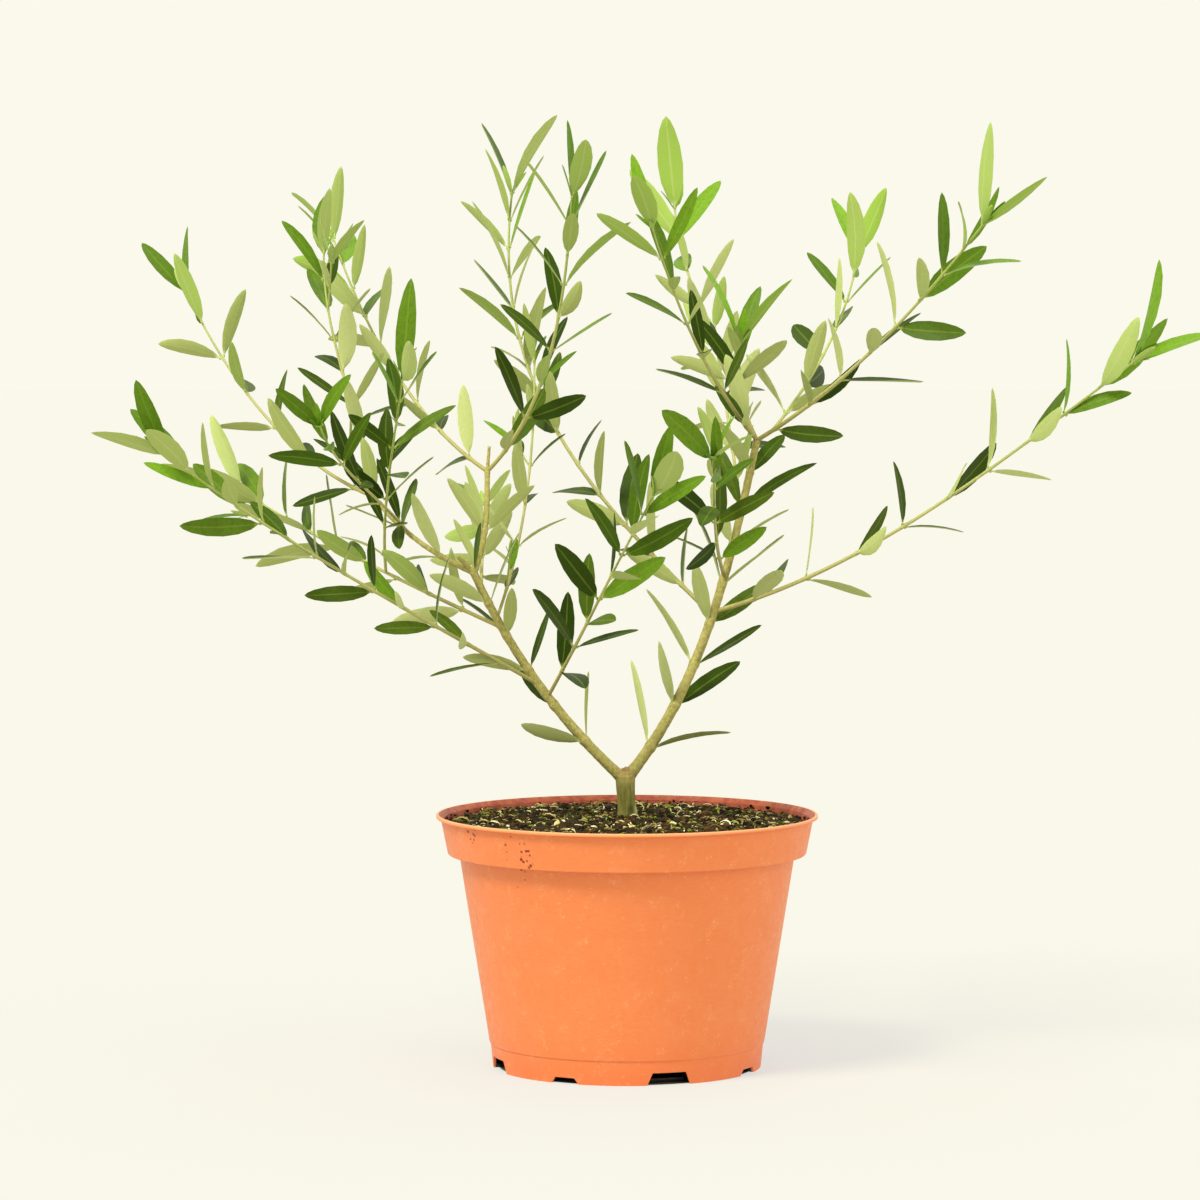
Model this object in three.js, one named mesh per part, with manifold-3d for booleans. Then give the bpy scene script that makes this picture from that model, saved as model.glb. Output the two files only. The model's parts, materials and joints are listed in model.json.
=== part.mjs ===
// A young olive tree in its 20 cm nursery pot, in millimetres, +Z up.
// The origin is the middle of the pot's flat underside, +X is to the right and +Y to the back.
// The short trunk forks just above the soil. Two boughs spread from the fork, each bough carries
// leafy shoots, and every shoot with its leaves is one solid of its own.

import * as THREE from "three";
import { mergeVertices } from "three/addons/utils/BufferGeometryUtils.js";
import Module from "manifold-3d";

// ---------------------------------------------------------------- driving dimensions

const POT = {
  rimRadius: 100,
  height: 132.5,
  wall: 1.6,
  lipWidth: 1.4, // flat top of the rolled lip
  lipDepth: 2.4,
  edge: 0.4, // the lip's rounded edges
  collarTop: 97.6, // radii of the collar's skirt, top and bottom
  collarFoot: 94,
  collarFootHeight: 112, // a level ledge joins the collar to the wall here
  wallTop: 88, // radii of the tapered wall, under the ledge and above the foot band
  wallFoot: 72.2,
  footStep: 0.6, // the foot band stands back by this much
  footBandHeight: 13,
  footRadius: 70.4,
  floor: 2,
  segments: 56,
};

// Drainage slots round the foot, wide and narrow ones in turn.
const SLOTS = {
  count: 8,
  firstAngle: 18, // degrees from the front, towards +X
  wide: { width: 24, height: 6.5 },
  narrow: { width: 17, height: 3.2 },
  slant: 3, // each side leans in by this much
  below: 1, // the cut starts this far under the pot
  innerRadius: 60,
  outerRadius: 82,
};

const SOIL = {
  centreHeight: 131.2,
  edgeHeight: 127.2,
  flatRadius: 9, // the trunk stands on this level patch
  slackRadius: 66, // outside this the surface falls away to the wall
  slackHeight: 130,
  footInset: 14, // the root ball's lower edge is drawn in behind the drainage slots
  footHeight: 10,
  footGap: 0.6, // extra clearance to the tapered wall
  segments: 40,
};

const TRUNK = {
  fork: [-1, 0, 150],
  top: 152.5,
  footGirth: 5.2, // radii
  midGirth: 4.4,
  topGirth: 5.2, // it widens into the fork
  flareHeight: 7,
  ridge: { foot: [4.2, -1], top: [2.2, -0.6], height: 13, girth: [1.7, 0.8] },
  stump: { foot: [-1, 0, 147], top: [-0.4, 0.4, 156.5], girth: [1.9, 1.4] },
};

const GAP = 0.3; // between one solid and the next
const LEAF = {
  slimness: 0.26, // width over length
  slimnessSpread: 0.06,
  thickness: 0.018, // over length
  rootWidth: 0.5,
  rootThickness: 0.45,
  rootDepth: 0.5, // how deep a leaf is sunk into its stem, over the stem's radius
  widest: 0.42, // place of the widest section, from the root
  shoulder: 0.77, // place of the section behind the tip, and its width over the widest
  shoulderWidth: 0.74,
};

// Boughs and limbs. Each grows out of another one, `at` a share of that one's length, to its tip.
// `rise` is the slope seen from the front where it leaves and where it ends: 0 is to the right,
// 90 straight up, 180 to the left. `girth` is the radius at both ends. `pairs` is the number of
// leaf pairs, the first one `bare` from the foot, `leaf` the usual leaf length and `tipLeaf` its
// length at the tip. `roll` turns the last pair, which is spread to both sides at 0 and to the
// front and back at 90. The pairs below it stand crosswise in turn.
const BOUGHS = [
  { name: "bough_left", tip: [-80, -12, 260], rise: [138, 114], girth: [2.8, 2.0],
    pairs: 6, bare: 30, leaf: 36, roll: 60,
    stubs: [{ at: 1, tip: [-88, -14, 268], girth: 1.2 }] },
  { name: "bough_right", tip: [68, 10, 328], rise: [50, 78], girth: [3.0, 1.9],
    pairs: 9, bare: 22, leaf: 42, roll: 30 },
  { name: "bough_left_upper", from: "bough_left", at: 1, tip: [-73, 0, 312], rise: [66, 90],
    girth: [1.8, 1.4], pairs: 2, bare: 22, leaf: 34, roll: 60,
    stubs: [{ at: 1, tip: [-72, 2, 325], girth: 1.0 }] },
  { name: "limb_left", from: "bough_left", at: 1, tip: [-133, 15, 298], rise: [160, 128],
    girth: [1.5, 1.2], pairs: 3, bare: 20, leaf: 34, roll: 40 },
];

// Leafy shoots. A twig grows on its shoot as the shoot grows on its bough.
const SHOOTS = [
  { name: "foliage_left_lowest", from: "bough_left", at: 0.5, tip: [-229, -110, 323],
    rise: [148, 140], girth: [1.2, 0.6], pairs: 13, bare: 26, leaf: 34, tipLeaf: 42, roll: 0 },
  { name: "foliage_left_low", from: "bough_left", at: 0.76, tip: [-206, 50, 300],
    rise: [157, 149], girth: [1.2, 0.6], pairs: 9, bare: 24, leaf: 36, tipLeaf: 52, roll: 0,
    twigs: [{ at: 0.43, tip: [-113, -90, 360], rise: [92, 80], girth: [0.9, 0.5],
      pairs: 8, bare: 14, leaf: 34, tipLeaf: 44, roll: 70 }] },
  { name: "foliage_left_outer", from: "limb_left", at: 1, tip: [-240, 110, 406],
    rise: [160, 118], girth: [1.1, 0.5], pairs: 7, bare: 14, leaf: 36, tipLeaf: 42, roll: 0 },
  { name: "foliage_left_inner", from: "limb_left", at: 1, tip: [-162, 60, 426],
    rise: [100, 90], girth: [1.1, 0.5], pairs: 8, bare: 10, leaf: 36, tipLeaf: 42, roll: 70 },
  { name: "foliage_left_back", from: "bough_left_upper", at: 1, tip: [-161, 130, 435],
    rise: [148, 112], girth: [1.2, 0.5], pairs: 9, bare: 16, leaf: 37, tipLeaf: 46, roll: 20 },
  { name: "foliage_left_front", from: "limb_left", at: 0.6, tip: [-152, -125, 338],
    rise: [120, 100], girth: [1.0, 0.5], pairs: 6, bare: 14, leaf: 34, tipLeaf: 38, roll: 4 },
  { name: "foliage_middle_front", from: "bough_left_upper", at: 1, tip: [-28, -60, 453],
    rise: [45, 86], girth: [1.2, 0.6], pairs: 9, bare: 16, leaf: 40, tipLeaf: 42, roll: 80 },
  { name: "foliage_middle_tall", from: "bough_right", at: 0.51, tip: [-63, 120, 460],
    rise: [137, 84], sweep: 1.2, girth: [1.3, 0.6], pairs: 14, bare: 24, leaf: 40,
    tipLeaf: 50, roll: 50 },
  { name: "foliage_middle_slender", from: "bough_left", at: 0.8, tip: [-50, 70, 384],
    rise: [70, 92], girth: [0.9, 0.5], pairs: 8, bare: 18, leaf: 30, tipLeaf: 30, roll: 10 },
  { name: "foliage_middle_low", from: "bough_left", at: 0.44, tip: [13, -120, 303],
    rise: [62, 62], girth: [1.1, 0.5], pairs: 9, bare: 22, leaf: 39, tipLeaf: 42, roll: 62 },
  { name: "foliage_middle_back", from: "bough_left", at: 0.93, tip: [-80, 185, 288],
    rise: [98, 96], girth: [1.1, 0.5], pairs: 6, bare: 30, leaf: 32, tipLeaf: 36, roll: 20 },
  { name: "foliage_right_front", from: "bough_right", at: 1, tip: [13, -80, 436],
    rise: [130, 107], girth: [1.2, 0.5], pairs: 7, bare: 12, leaf: 34, tipLeaf: 46, roll: 92 },
  { name: "foliage_right_inner", from: "bough_right", at: 1, tip: [26, 110, 451],
    rise: [114, 96], girth: [1.2, 0.5], pairs: 7, bare: 14, leaf: 34, tipLeaf: 48, roll: 90,
    twigs: [{ at: 0.17, tip: [59, 10, 378], rise: [88, 88], girth: [0.8, 0.5],
      pairs: 3, bare: 12, leaf: 40, tipLeaf: 46, roll: 20 }] },
  { name: "foliage_right_outer", from: "bough_right", at: 1, tip: [178, -90, 438],
    rise: [32, 54], girth: [1.3, 0.6], pairs: 9, bare: 14, leaf: 38, tipLeaf: 46, roll: 20,
    twigs: [{ at: 0.06, tip: [125, 100, 427], rise: [49, 80], girth: [1.0, 0.5],
      pairs: 7, bare: 16, leaf: 38, tipLeaf: 44, roll: 30 }] },
  { name: "foliage_far_right", from: "bough_right", at: 0.52, tip: [258, -50, 369],
    rise: [16, 38], girth: [1.3, 0.6], pairs: 10, bare: 22, leaf: 35, tipLeaf: 54, roll: 0 },
  { name: "foliage_right_back", from: "bough_right", at: 0.8, tip: [48, 170, 386],
    rise: [95, 98], girth: [1.1, 0.5], pairs: 7, bare: 30, leaf: 36, tipLeaf: 38, roll: 50 },
  { name: "foliage_right_low", from: "bough_right", at: 0.62, tip: [42, -150, 322],
    rise: [110, 96], girth: [1.1, 0.5], pairs: 7, bare: 28, leaf: 36, tipLeaf: 38, roll: 10 },
];

// Leaves lean up, and turn their upper side a little to the sky and the brighter front. A twist
// in the stalk then turns many of them back, up to this many degrees.
const LIFT = 0.28;
const LIGHT = [0, -0.1, 0.35];
const TWIST = 62;

const COLOURS = {
  pot: 0xfb9457,
  soil: 0x594c29,
  bark: 0xa39a58,
  foliage: 0x6b8f35,
};

// ---------------------------------------------------------------- solids

const wasm = await Module();
wasm.setup();

const vec = (x, y, z) => new THREE.Vector3(x, y, z);
const point = (list) => new THREE.Vector3(...list);
const degrees = THREE.MathUtils.degToRad;

function solidOf(geometry) {
  const plain = geometry.clone();
  plain.deleteAttribute("normal");
  plain.deleteAttribute("uv");
  const merged = mergeVertices(plain, 1e-4);
  return new wasm.Manifold(new wasm.Mesh({
    numProp: 3,
    vertProperties: new Float32Array(merged.attributes.position.array),
    triVerts: new Uint32Array(merged.index.array),
  }));
}

function geometryOf(solid) {
  const { vertProperties, triVerts, numProp } = solid.getMesh();
  const count = vertProperties.length / numProp;
  const position = new Float32Array(count * 3);
  for (let i = 0; i < count; i += 1) {
    position.set(vertProperties.subarray(i * numProp, i * numProp + 3), i * 3);
  }
  const geometry = new THREE.BufferGeometry();
  geometry.setAttribute("position", new THREE.BufferAttribute(position, 3));
  geometry.setIndex(new THREE.BufferAttribute(new Uint32Array(triVerts), 1));
  geometry.computeVertexNormals();
  return geometry;
}

// The main body of a solid: loose scraps go, and a hollow that was sealed in is filled.
function mainBody(solid) {
  const bodies = solid.decompose();
  return bodies.reduce((best, body) => (body.volume() > best.volume() ? body : best));
}

// A closed skin over rings of equal size, from the first ring to the last. A ring of one point
// closes to a tip.
function skin(rings) {
  const position = rings.flatMap((ring) => ring.flatMap((p) => [p.x, p.y, p.z]));
  const index = [];
  const starts = [];
  rings.reduce((sum, ring) => {
    starts.push(sum);
    return sum + ring.length;
  }, 0);
  const capRing = (ring, start, flip) => {
    for (let i = 1; i < ring.length - 1; i += 1) {
      index.push(start, start + (flip ? i + 1 : i), start + (flip ? i : i + 1));
    }
  };
  capRing(rings[0], starts[0], true);
  for (let r = 0; r < rings.length - 1; r += 1) {
    const count = rings[r].length;
    for (let i = 0; i < count; i += 1) {
      const next = (i + 1) % count;
      const a = starts[r] + i;
      const b = starts[r] + next;
      if (rings[r + 1].length === 1) {
        index.push(a, b, starts[r + 1]);
      } else {
        index.push(a, b, starts[r + 1] + next, a, starts[r + 1] + next, starts[r + 1] + i);
      }
    }
  }
  capRing(rings.at(-1), starts.at(-1), false);
  const geometry = new THREE.BufferGeometry();
  geometry.setAttribute("position", new THREE.Float32BufferAttribute(position, 3));
  geometry.setIndex(index);
  return solidOf(geometry);
}

// Two directions square to `along`: `front` points towards -Y as far as it can.
function squareTo(along) {
  const front = vec(0, -1, 0).addScaledVector(along, along.y).normalize();
  return { front, side: vec(0, 0, 0).crossVectors(along, front) };
}

// A round limb along a curve. `radius` gives its radius at a share of its length.
function limbSolid(curve, radius, sides, steps) {
  const rings = [];
  for (let s = 0; s <= steps; s += 1) {
    const share = s / steps;
    const centre = curve.getPointAt(share);
    const { front, side } = squareTo(curve.getTangentAt(share));
    const r = radius(share);
    rings.push(Array.from({ length: sides }, (_, i) => {
      const turn = (2 * Math.PI * i) / sides;
      return centre.clone()
        .addScaledVector(side, r * Math.cos(turn))
        .addScaledVector(front, -r * Math.sin(turn));
    }));
  }
  return skin(rings);
}

const taper = ([foot, tip], extra = 0) => (share) => foot + (tip - foot) * share + extra;

// ---------------------------------------------------------------- pot and soil

const WALL_SLOPE = (POT.wallTop - POT.wallFoot) / (POT.collarFootHeight - POT.footBandHeight);
const LIP_FOOT = POT.height - POT.lipDepth;
const COLLAR_SLOPE = (POT.collarTop - POT.collarFoot) / (LIP_FOOT - POT.collarFootHeight);

// Turns an outline of radius and height once round the upright axis.
function turned(outline, segments) {
  const lathe = new THREE.LatheGeometry(outline.map(([r, z]) => new THREE.Vector2(r, z)), segments);
  lathe.rotateX(Math.PI / 2); // the lathe turns about Y
  return solidOf(lathe);
}

function potSolid() {
  const p = POT;
  const outside = [
    [0, 0],
    [p.footRadius, 0],
    [p.wallFoot - p.footStep, p.footBandHeight - p.footStep],
    [p.wallFoot, p.footBandHeight],
    [p.wallTop, p.collarFootHeight],
    [p.collarFoot - p.edge, p.collarFootHeight],
    [p.collarFoot, p.collarFootHeight + p.edge],
    [p.collarTop, LIP_FOOT],
    [p.rimRadius, LIP_FOOT + 2 * p.edge],
    [p.rimRadius, p.height - p.edge],
    [p.rimRadius - p.edge, p.height],
  ];
  const inside = [
    [p.rimRadius - p.lipWidth, p.height],
    [p.collarTop - p.wall, LIP_FOOT],
    [p.collarFoot - p.wall, p.collarFootHeight + p.wall],
    [p.wallTop - p.wall, p.collarFootHeight + p.wall],
    [p.footRadius + WALL_SLOPE * p.floor - p.wall, p.floor],
    [0, p.floor],
  ];
  let pot = turned([...outside, ...inside], p.segments);
  for (let i = 0; i < SLOTS.count; i += 1) {
    pot = pot.subtract(slotSolid(i));
  }
  return mainBody(pot);
}

// A slot is a little narrower at its top than at the foot. It is cut through from below.
function slotSolid(i) {
  const { width, height } = i % 2 ? SLOTS.narrow : SLOTS.wide;
  const half = width / 2;
  const shape = new THREE.Shape();
  shape.moveTo(-half, -SLOTS.below);
  shape.lineTo(half, -SLOTS.below);
  shape.lineTo(half - SLOTS.slant, height);
  shape.lineTo(SLOTS.slant - half, height);
  shape.closePath();
  const depth = SLOTS.outerRadius - SLOTS.innerRadius;
  const slot = new THREE.ExtrudeGeometry(shape, { depth, bevelEnabled: false });
  slot.rotateX(Math.PI / 2); // now it runs towards -Y, the front
  slot.translate(0, -SLOTS.innerRadius, 0);
  slot.rotateZ(degrees(SLOTS.firstAngle + (360 / SLOTS.count) * i));
  return solidOf(slot);
}

function soilSolid() {
  const p = SOIL;
  const inset = POT.wall + GAP + p.footGap;
  const footRadius = POT.footRadius - POT.wall - GAP - p.footInset;
  const ledge = POT.collarFootHeight + POT.wall + GAP;
  const collarInside = (height) =>
    POT.collarTop - COLLAR_SLOPE * (LIP_FOOT - height) - POT.wall - 2 * GAP;
  return turned([
    [0, POT.floor + GAP],
    [footRadius, POT.floor + GAP],
    [footRadius, p.footHeight],
    [POT.footRadius + WALL_SLOPE * p.footHeight - inset, p.footHeight],
    [POT.wallTop - inset, ledge],
    [collarInside(ledge), ledge],
    [collarInside(p.edgeHeight), p.edgeHeight],
    [p.slackRadius, p.slackHeight],
    [p.flatRadius * 3, p.centreHeight - GAP],
    [p.flatRadius, p.centreHeight],
    [0, p.centreHeight],
  ], p.segments);
}

// ---------------------------------------------------------------- trunk and boughs

// A limb's curve leaves and ends at its two slopes, and goes evenly forwards or backwards.
function limbCurve({ start, tip, rise, sweep = 1 }) {
  const chord = start.distanceTo(tip);
  const depth = (tip.y - start.y) / chord;
  const flat = Math.sqrt(1 - depth * depth);
  const [leaves, ends] = rise.map((angle) =>
    vec(flat * Math.cos(degrees(angle)), depth, flat * Math.sin(degrees(angle))));
  const reach = (chord * sweep) / 3;
  return new THREE.CubicBezierCurve3(
    start,
    start.clone().addScaledVector(leaves, reach),
    tip.clone().addScaledVector(ends, -reach),
    tip,
  );
}

function trunkSolid(extra = 0) {
  const { fork, ridge, stump } = TRUNK;
  const foot = vec(0, 0, SOIL.centreHeight + GAP);
  const top = vec(fork[0], fork[1], TRUNK.top + extra);
  const axis = new THREE.LineCurve3(foot, top);
  const flareShare = TRUNK.flareHeight / (top.z - foot.z);
  const radius = (share) => {
    const flare = Math.max(0, 1 - share / flareShare) ** 2;
    const stem = TRUNK.midGirth + (TRUNK.topGirth - TRUNK.midGirth) * share;
    return stem + (TRUNK.footGirth - TRUNK.midGirth) * flare + extra;
  };
  const stem = limbSolid(axis, radius, 12, 8);
  // A ridge of bark runs down the right side to the soil.
  const ridgeLine = new THREE.LineCurve3(
    vec(...ridge.foot, foot.z),
    vec(...ridge.top, foot.z + ridge.height),
  );
  // The stump of a pruned leader sits between the boughs.
  const stumpLine = new THREE.LineCurve3(point(stump.foot), point(stump.top));
  return stem
    .add(limbSolid(ridgeLine, taper(ridge.girth, extra), 8, 2))
    .add(limbSolid(stumpLine, taper(stump.girth, extra), 8, 1));
}

// ---------------------------------------------------------------- how a shoot grows

// A small seeded generator of numbers from 0 to 1 (mulberry32).
function seeded(seed) {
  let state = seed >>> 0;
  return () => {
    state = (state + 0x6d2b79f5) >>> 0;
    let t = state;
    t = Math.imul(t ^ (t >>> 15), t | 1);
    t ^= t + Math.imul(t ^ (t >>> 7), t | 61);
    return ((t ^ (t >>> 14)) >>> 0) / 4294967296;
  };
}

const around = (random, middle, spread) => middle + (2 * random() - 1) * spread;

// Leaves stand in opposite pairs, each pair a quarter turn from the last. They are closer and
// steeper towards the tip. Here and there a short twig takes a leaf's place.
function growLeaves(stem, seed) {
  const random = seeded(seed);
  const { curve, pairs, bare, leaf, tipLeaf = leaf, roll, twiggy = 0.03 } = stem;
  const from = bare / curve.getLength();
  const leaves = [];
  const twigs = [];
  for (let i = 0; i < pairs; i += 1) {
    const u = pairs > 1 ? i / (pairs - 1) : 1;
    const share = Math.min(1, from + (1 - from) * u * (1.2 - 0.2 * u));
    const steep = stem.leader ? 0 : u ** 3;
    const node = curve.getPointAt(share);
    const along = curve.getTangentAt(share);
    const { front, side } = squareTo(along);
    const turn = around(random, roll + 90 * (pairs - 1 - i), 14);
    for (const half of [0, 180]) {
      const angle = degrees(around(random, turn + half, 9));
      const spread = degrees(around(random, 52 - 26 * steep, 9));
      const usual = leaf + (tipLeaf - leaf) * steep;
      const size = around(random, usual, 0.18 * usual);
      const slim = around(random, LEAF.slimness, LEAF.slimnessSpread);
      const twist = degrees(around(random, 0, TWIST));
      const bend = around(random, 0.1, 0.1);
      const isTwig = random() < twiggy && u < 0.8;
      const outward = side.clone().multiplyScalar(Math.cos(angle))
        .addScaledVector(front, Math.sin(angle));
      const axis = along.clone().multiplyScalar(Math.cos(spread))
        .addScaledVector(outward, Math.sin(spread)).add(vec(0, 0, LIFT)).normalize();
      const face = along.clone().multiplyScalar(Math.sin(spread))
        .addScaledVector(outward, -Math.cos(spread))
        .add(point(LIGHT));
      face.addScaledVector(axis, -face.dot(axis)).normalize().applyAxisAngle(axis, twist);
      if (isTwig) {
        twigs.push(sideTwig(node, axis, size, leaf));
      } else {
        const sunk = taper(stem.girth)(share) * (1 - LEAF.rootDepth);
        const root = node.clone().addScaledVector(outward, sunk);
        leaves.push({ root, axis, face, length: size, width: size * slim, bend });
      }
    }
  }
  return { leaves, twigs };
}

function sideTwig(foot, axis, length, leaf) {
  const reach = length * 0.62;
  const up = axis.clone().add(vec(0, 0, 0.35)).normalize();
  const middle = foot.clone().addScaledVector(axis, reach / 2);
  const curve = new THREE.CubicBezierCurve3(
    foot,
    foot.clone().addScaledVector(axis, reach / 3),
    middle.clone().addScaledVector(up, reach / 6),
    middle.clone().addScaledVector(up, reach / 2),
  );
  return { curve, pairs: 2, bare: reach * 0.5, leaf: leaf * 0.72, roll: 0, twiggy: 0,
    girth: [0.6, 0.45], small: true };
}

// A leaf is a thin blade with a low ridge along its upper side, drawn in to its root and tip.
function leafSolid({ root, axis, face, length, width, bend }, extra = 0) {
  const across = vec(0, 0, 0).crossVectors(axis, face);
  const thick = Math.max(length * LEAF.thickness, 0.5);
  const section = (share, w, t) => {
    const centre = root.clone()
      .addScaledVector(axis, length * share)
      .addScaledVector(face, -length * bend * share * share);
    return [
      centre.clone().addScaledVector(across, w / 2 + extra).addScaledVector(face, -extra / 2),
      centre.clone().addScaledVector(across, -w / 2 - extra).addScaledVector(face, -extra / 2),
      centre.clone().addScaledVector(face, t + extra / 2),
    ];
  };
  const tip = section(1, 0, 0);
  return skin([
    section(0, LEAF.rootWidth, LEAF.rootThickness),
    section(LEAF.widest, width, thick),
    section(LEAF.shoulder, width * LEAF.shoulderWidth, thick),
    [tip[0].lerp(tip[1], 0.5)],
  ]);
}

// ---------------------------------------------------------------- assembly

const olive = new THREE.Group();

function addPart(name, solid, colour, roughness) {
  const material = new THREE.MeshStandardMaterial({ color: colour, roughness, metalness: 0 });
  const mesh = new THREE.Mesh(geometryOf(solid), material);
  mesh.name = name;
  olive.add(mesh);
}

// Every limb by name: its curve, its solid, and the same solid a gap larger all round, which
// cuts the foot of whatever grows from it.
const limbs = new Map();

function raise(spec, sides, steps) {
  const parent = limbs.get(spec.from);
  const start = parent ? parent.curve.getPointAt(spec.at) : point(TRUNK.fork);
  const curve = limbCurve({ ...spec, start, tip: point(spec.tip) });
  const draw = (extra) => {
    const stubs = (spec.stubs ?? []).map((stub) => {
      const line = new THREE.LineCurve3(curve.getPointAt(stub.at), point(stub.tip));
      return limbSolid(line, taper([stub.girth, stub.girth], extra), 6, 1);
    });
    return [limbSolid(curve, taper(spec.girth, extra), sides, steps), ...stubs]
      .reduce((all, piece) => all.add(piece));
  };
  return { ...spec, curve, solid: draw(0), grown: draw(GAP) };
}

limbs.set("trunk", { solid: trunkSolid(), grown: trunkSolid(GAP) });

// Cuts a solid clear of every limb that is already standing.
const clearOf = (solid) =>
  [...limbs.values()].reduce((rest, limb) => rest.subtract(limb.grown), solid);

const WOOD = {
  bough: { sides: 8, steps: 8 },
  shoot: { sides: 3, steps: 8 },
  twig: { sides: 3, steps: 6 },
  small: { sides: 3, steps: 2 },
};

const plants = [];
for (const [order, spec] of [...BOUGHS, ...SHOOTS].entries()) {
  const leader = order < BOUGHS.length;
  const { sides, steps } = leader ? WOOD.bough : WOOD.shoot;
  const limb = raise(spec, sides, steps);
  const seed = 100 * (order + 1);
  const { leaves, twigs } = growLeaves({ ...limb, leader }, seed);
  for (const twig of spec.twigs ?? []) {
    const start = limb.curve.getPointAt(twig.at);
    twigs.unshift({ ...twig, curve: limbCurve({ ...twig, start, tip: point(twig.tip) }) });
  }
  for (const [i, twig] of twigs.entries()) {
    const grown = growLeaves(twig, seed + 1 + i);
    leaves.push(...grown.leaves);
  }
  const draw = (extra) => twigs.map((twig) => {
    const form = twig.small ? WOOD.small : WOOD.twig;
    return limbSolid(twig.curve, taper(twig.girth, extra), form.sides, form.steps);
  });
  const whole = wasm.Manifold.union([limb.solid, ...draw(0)]);
  const solid = mainBody(clearOf(whole));
  const grown = wasm.Manifold.union([limb.grown, ...draw(GAP)]);
  limbs.set(spec.name, { ...limb, solid, grown });
  plants.push({ name: spec.name, leader, leaves });
}

// Leaves are added plant by plant. One that would touch another plant's wood or leaves is
// skipped.
const meets = (a, b) => {
  const p = a.boundingBox();
  const q = b.boundingBox();
  for (let i = 0; i < 3; i += 1) {
    if (p.min[i] > q.max[i] || q.min[i] > p.max[i]) return false;
  }
  return !a.intersect(b).isEmpty();
};

const taken = [];
for (const plant of plants) {
  const others = [...limbs].filter(([name]) => name !== plant.name).map(([, limb]) => limb.solid);
  const own = [];
  for (const leaf of plant.leaves) {
    const roomy = leafSolid(leaf, GAP);
    if (![...others, ...taken].some((other) => meets(roomy, other))) {
      own.push(leafSolid(leaf));
    }
  }
  taken.push(...own);
  const wood = limbs.get(plant.name).solid;
  plant.solid = mainBody(wasm.Manifold.union([wood, ...own]));
}

addPart("pot", potSolid(), COLOURS.pot, 0.45);
addPart("soil", soilSolid(), COLOURS.soil, 1);
addPart("trunk", mainBody(limbs.get("trunk").solid), COLOURS.bark, 0.8);
for (const { name, leader, solid } of plants) {
  addPart(name, solid, leader ? COLOURS.bark : COLOURS.foliage, 0.6);
}

export default olive;
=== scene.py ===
# %% [markdown]
# # A young olive tree in a nursery pot
#
# The tree stands in a round plastic pot, 200 mm across its rim. A short trunk forks just above
# the potting mix, two boughs spread from the fork, and leafy shoots grow from the boughs. The
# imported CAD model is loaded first. It is the fixed frame: every piece made here takes its place
# from it. Lengths are worked out in millimetres, and turned into metres when a mesh is made.

# %% Load the frame
import json
import math
import bpy
import numpy as np
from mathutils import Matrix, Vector, noise
from mathutils.bvhtree import BVHTree

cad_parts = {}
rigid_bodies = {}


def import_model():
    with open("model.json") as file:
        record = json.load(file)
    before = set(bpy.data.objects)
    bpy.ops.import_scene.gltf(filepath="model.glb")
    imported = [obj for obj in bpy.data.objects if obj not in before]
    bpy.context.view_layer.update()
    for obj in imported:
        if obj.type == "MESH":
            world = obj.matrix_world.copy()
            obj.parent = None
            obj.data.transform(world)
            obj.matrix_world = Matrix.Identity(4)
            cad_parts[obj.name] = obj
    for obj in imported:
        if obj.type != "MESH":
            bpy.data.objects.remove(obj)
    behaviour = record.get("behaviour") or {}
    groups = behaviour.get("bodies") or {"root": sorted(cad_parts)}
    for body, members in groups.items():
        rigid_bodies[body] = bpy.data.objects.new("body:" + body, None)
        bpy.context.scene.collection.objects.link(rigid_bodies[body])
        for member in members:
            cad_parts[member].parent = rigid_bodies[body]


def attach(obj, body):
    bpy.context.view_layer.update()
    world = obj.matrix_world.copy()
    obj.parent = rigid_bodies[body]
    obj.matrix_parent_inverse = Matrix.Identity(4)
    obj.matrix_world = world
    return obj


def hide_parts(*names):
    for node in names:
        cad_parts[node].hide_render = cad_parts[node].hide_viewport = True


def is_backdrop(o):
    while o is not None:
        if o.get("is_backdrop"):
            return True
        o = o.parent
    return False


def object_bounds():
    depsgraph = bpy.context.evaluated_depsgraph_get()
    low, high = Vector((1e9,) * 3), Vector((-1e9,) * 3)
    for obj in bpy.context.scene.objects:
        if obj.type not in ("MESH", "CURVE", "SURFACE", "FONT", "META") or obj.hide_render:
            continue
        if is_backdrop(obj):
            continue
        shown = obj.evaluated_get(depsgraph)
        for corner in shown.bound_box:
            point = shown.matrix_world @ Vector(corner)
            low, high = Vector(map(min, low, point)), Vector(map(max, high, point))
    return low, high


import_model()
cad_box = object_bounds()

MM = 0.001
BODY = "root"
scene = bpy.context.scene
print("CAD box in mm:", [[round(v / MM, 1) for v in corner] for corner in cad_box])

# %% [markdown]
# ## The camera
#
# A long lens far away keeps the round pot calm, with little perspective. The camera stands in
# front of the tree, a little above the pot's rim, and looks down by about three degrees. That
# shows the far inner wall of the pot and a thin slice of the potting mix.

# %% Camera
CAMERA_PLACE = (0, -2.4, 0.3828)
CAMERA_DOWN = math.radians(3.294)
CAMERA_LEFT = math.radians(0.338)
LENS = 137.9

camera = bpy.data.objects.new("camera", bpy.data.cameras.new("camera"))
scene.collection.objects.link(camera)
camera.location = CAMERA_PLACE
camera.rotation_euler = (math.pi / 2 - CAMERA_DOWN, 0, CAMERA_LEFT)
camera.data.lens = LENS
camera.data.sensor_width = 36
scene.camera = camera
print("camera", tuple(round(v, 3) for v in camera.location), "lens", LENS)

# %% [markdown]
# ## Shader maths as Python
#
# A material is a graph of nodes. Drawing it link by link is long and hard to read, so one small
# class wraps a socket and lets Python's own operators add the Math nodes. Every other node comes
# from `Finish.node`, which takes the node's type, then its settings, then its sockets.

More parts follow.
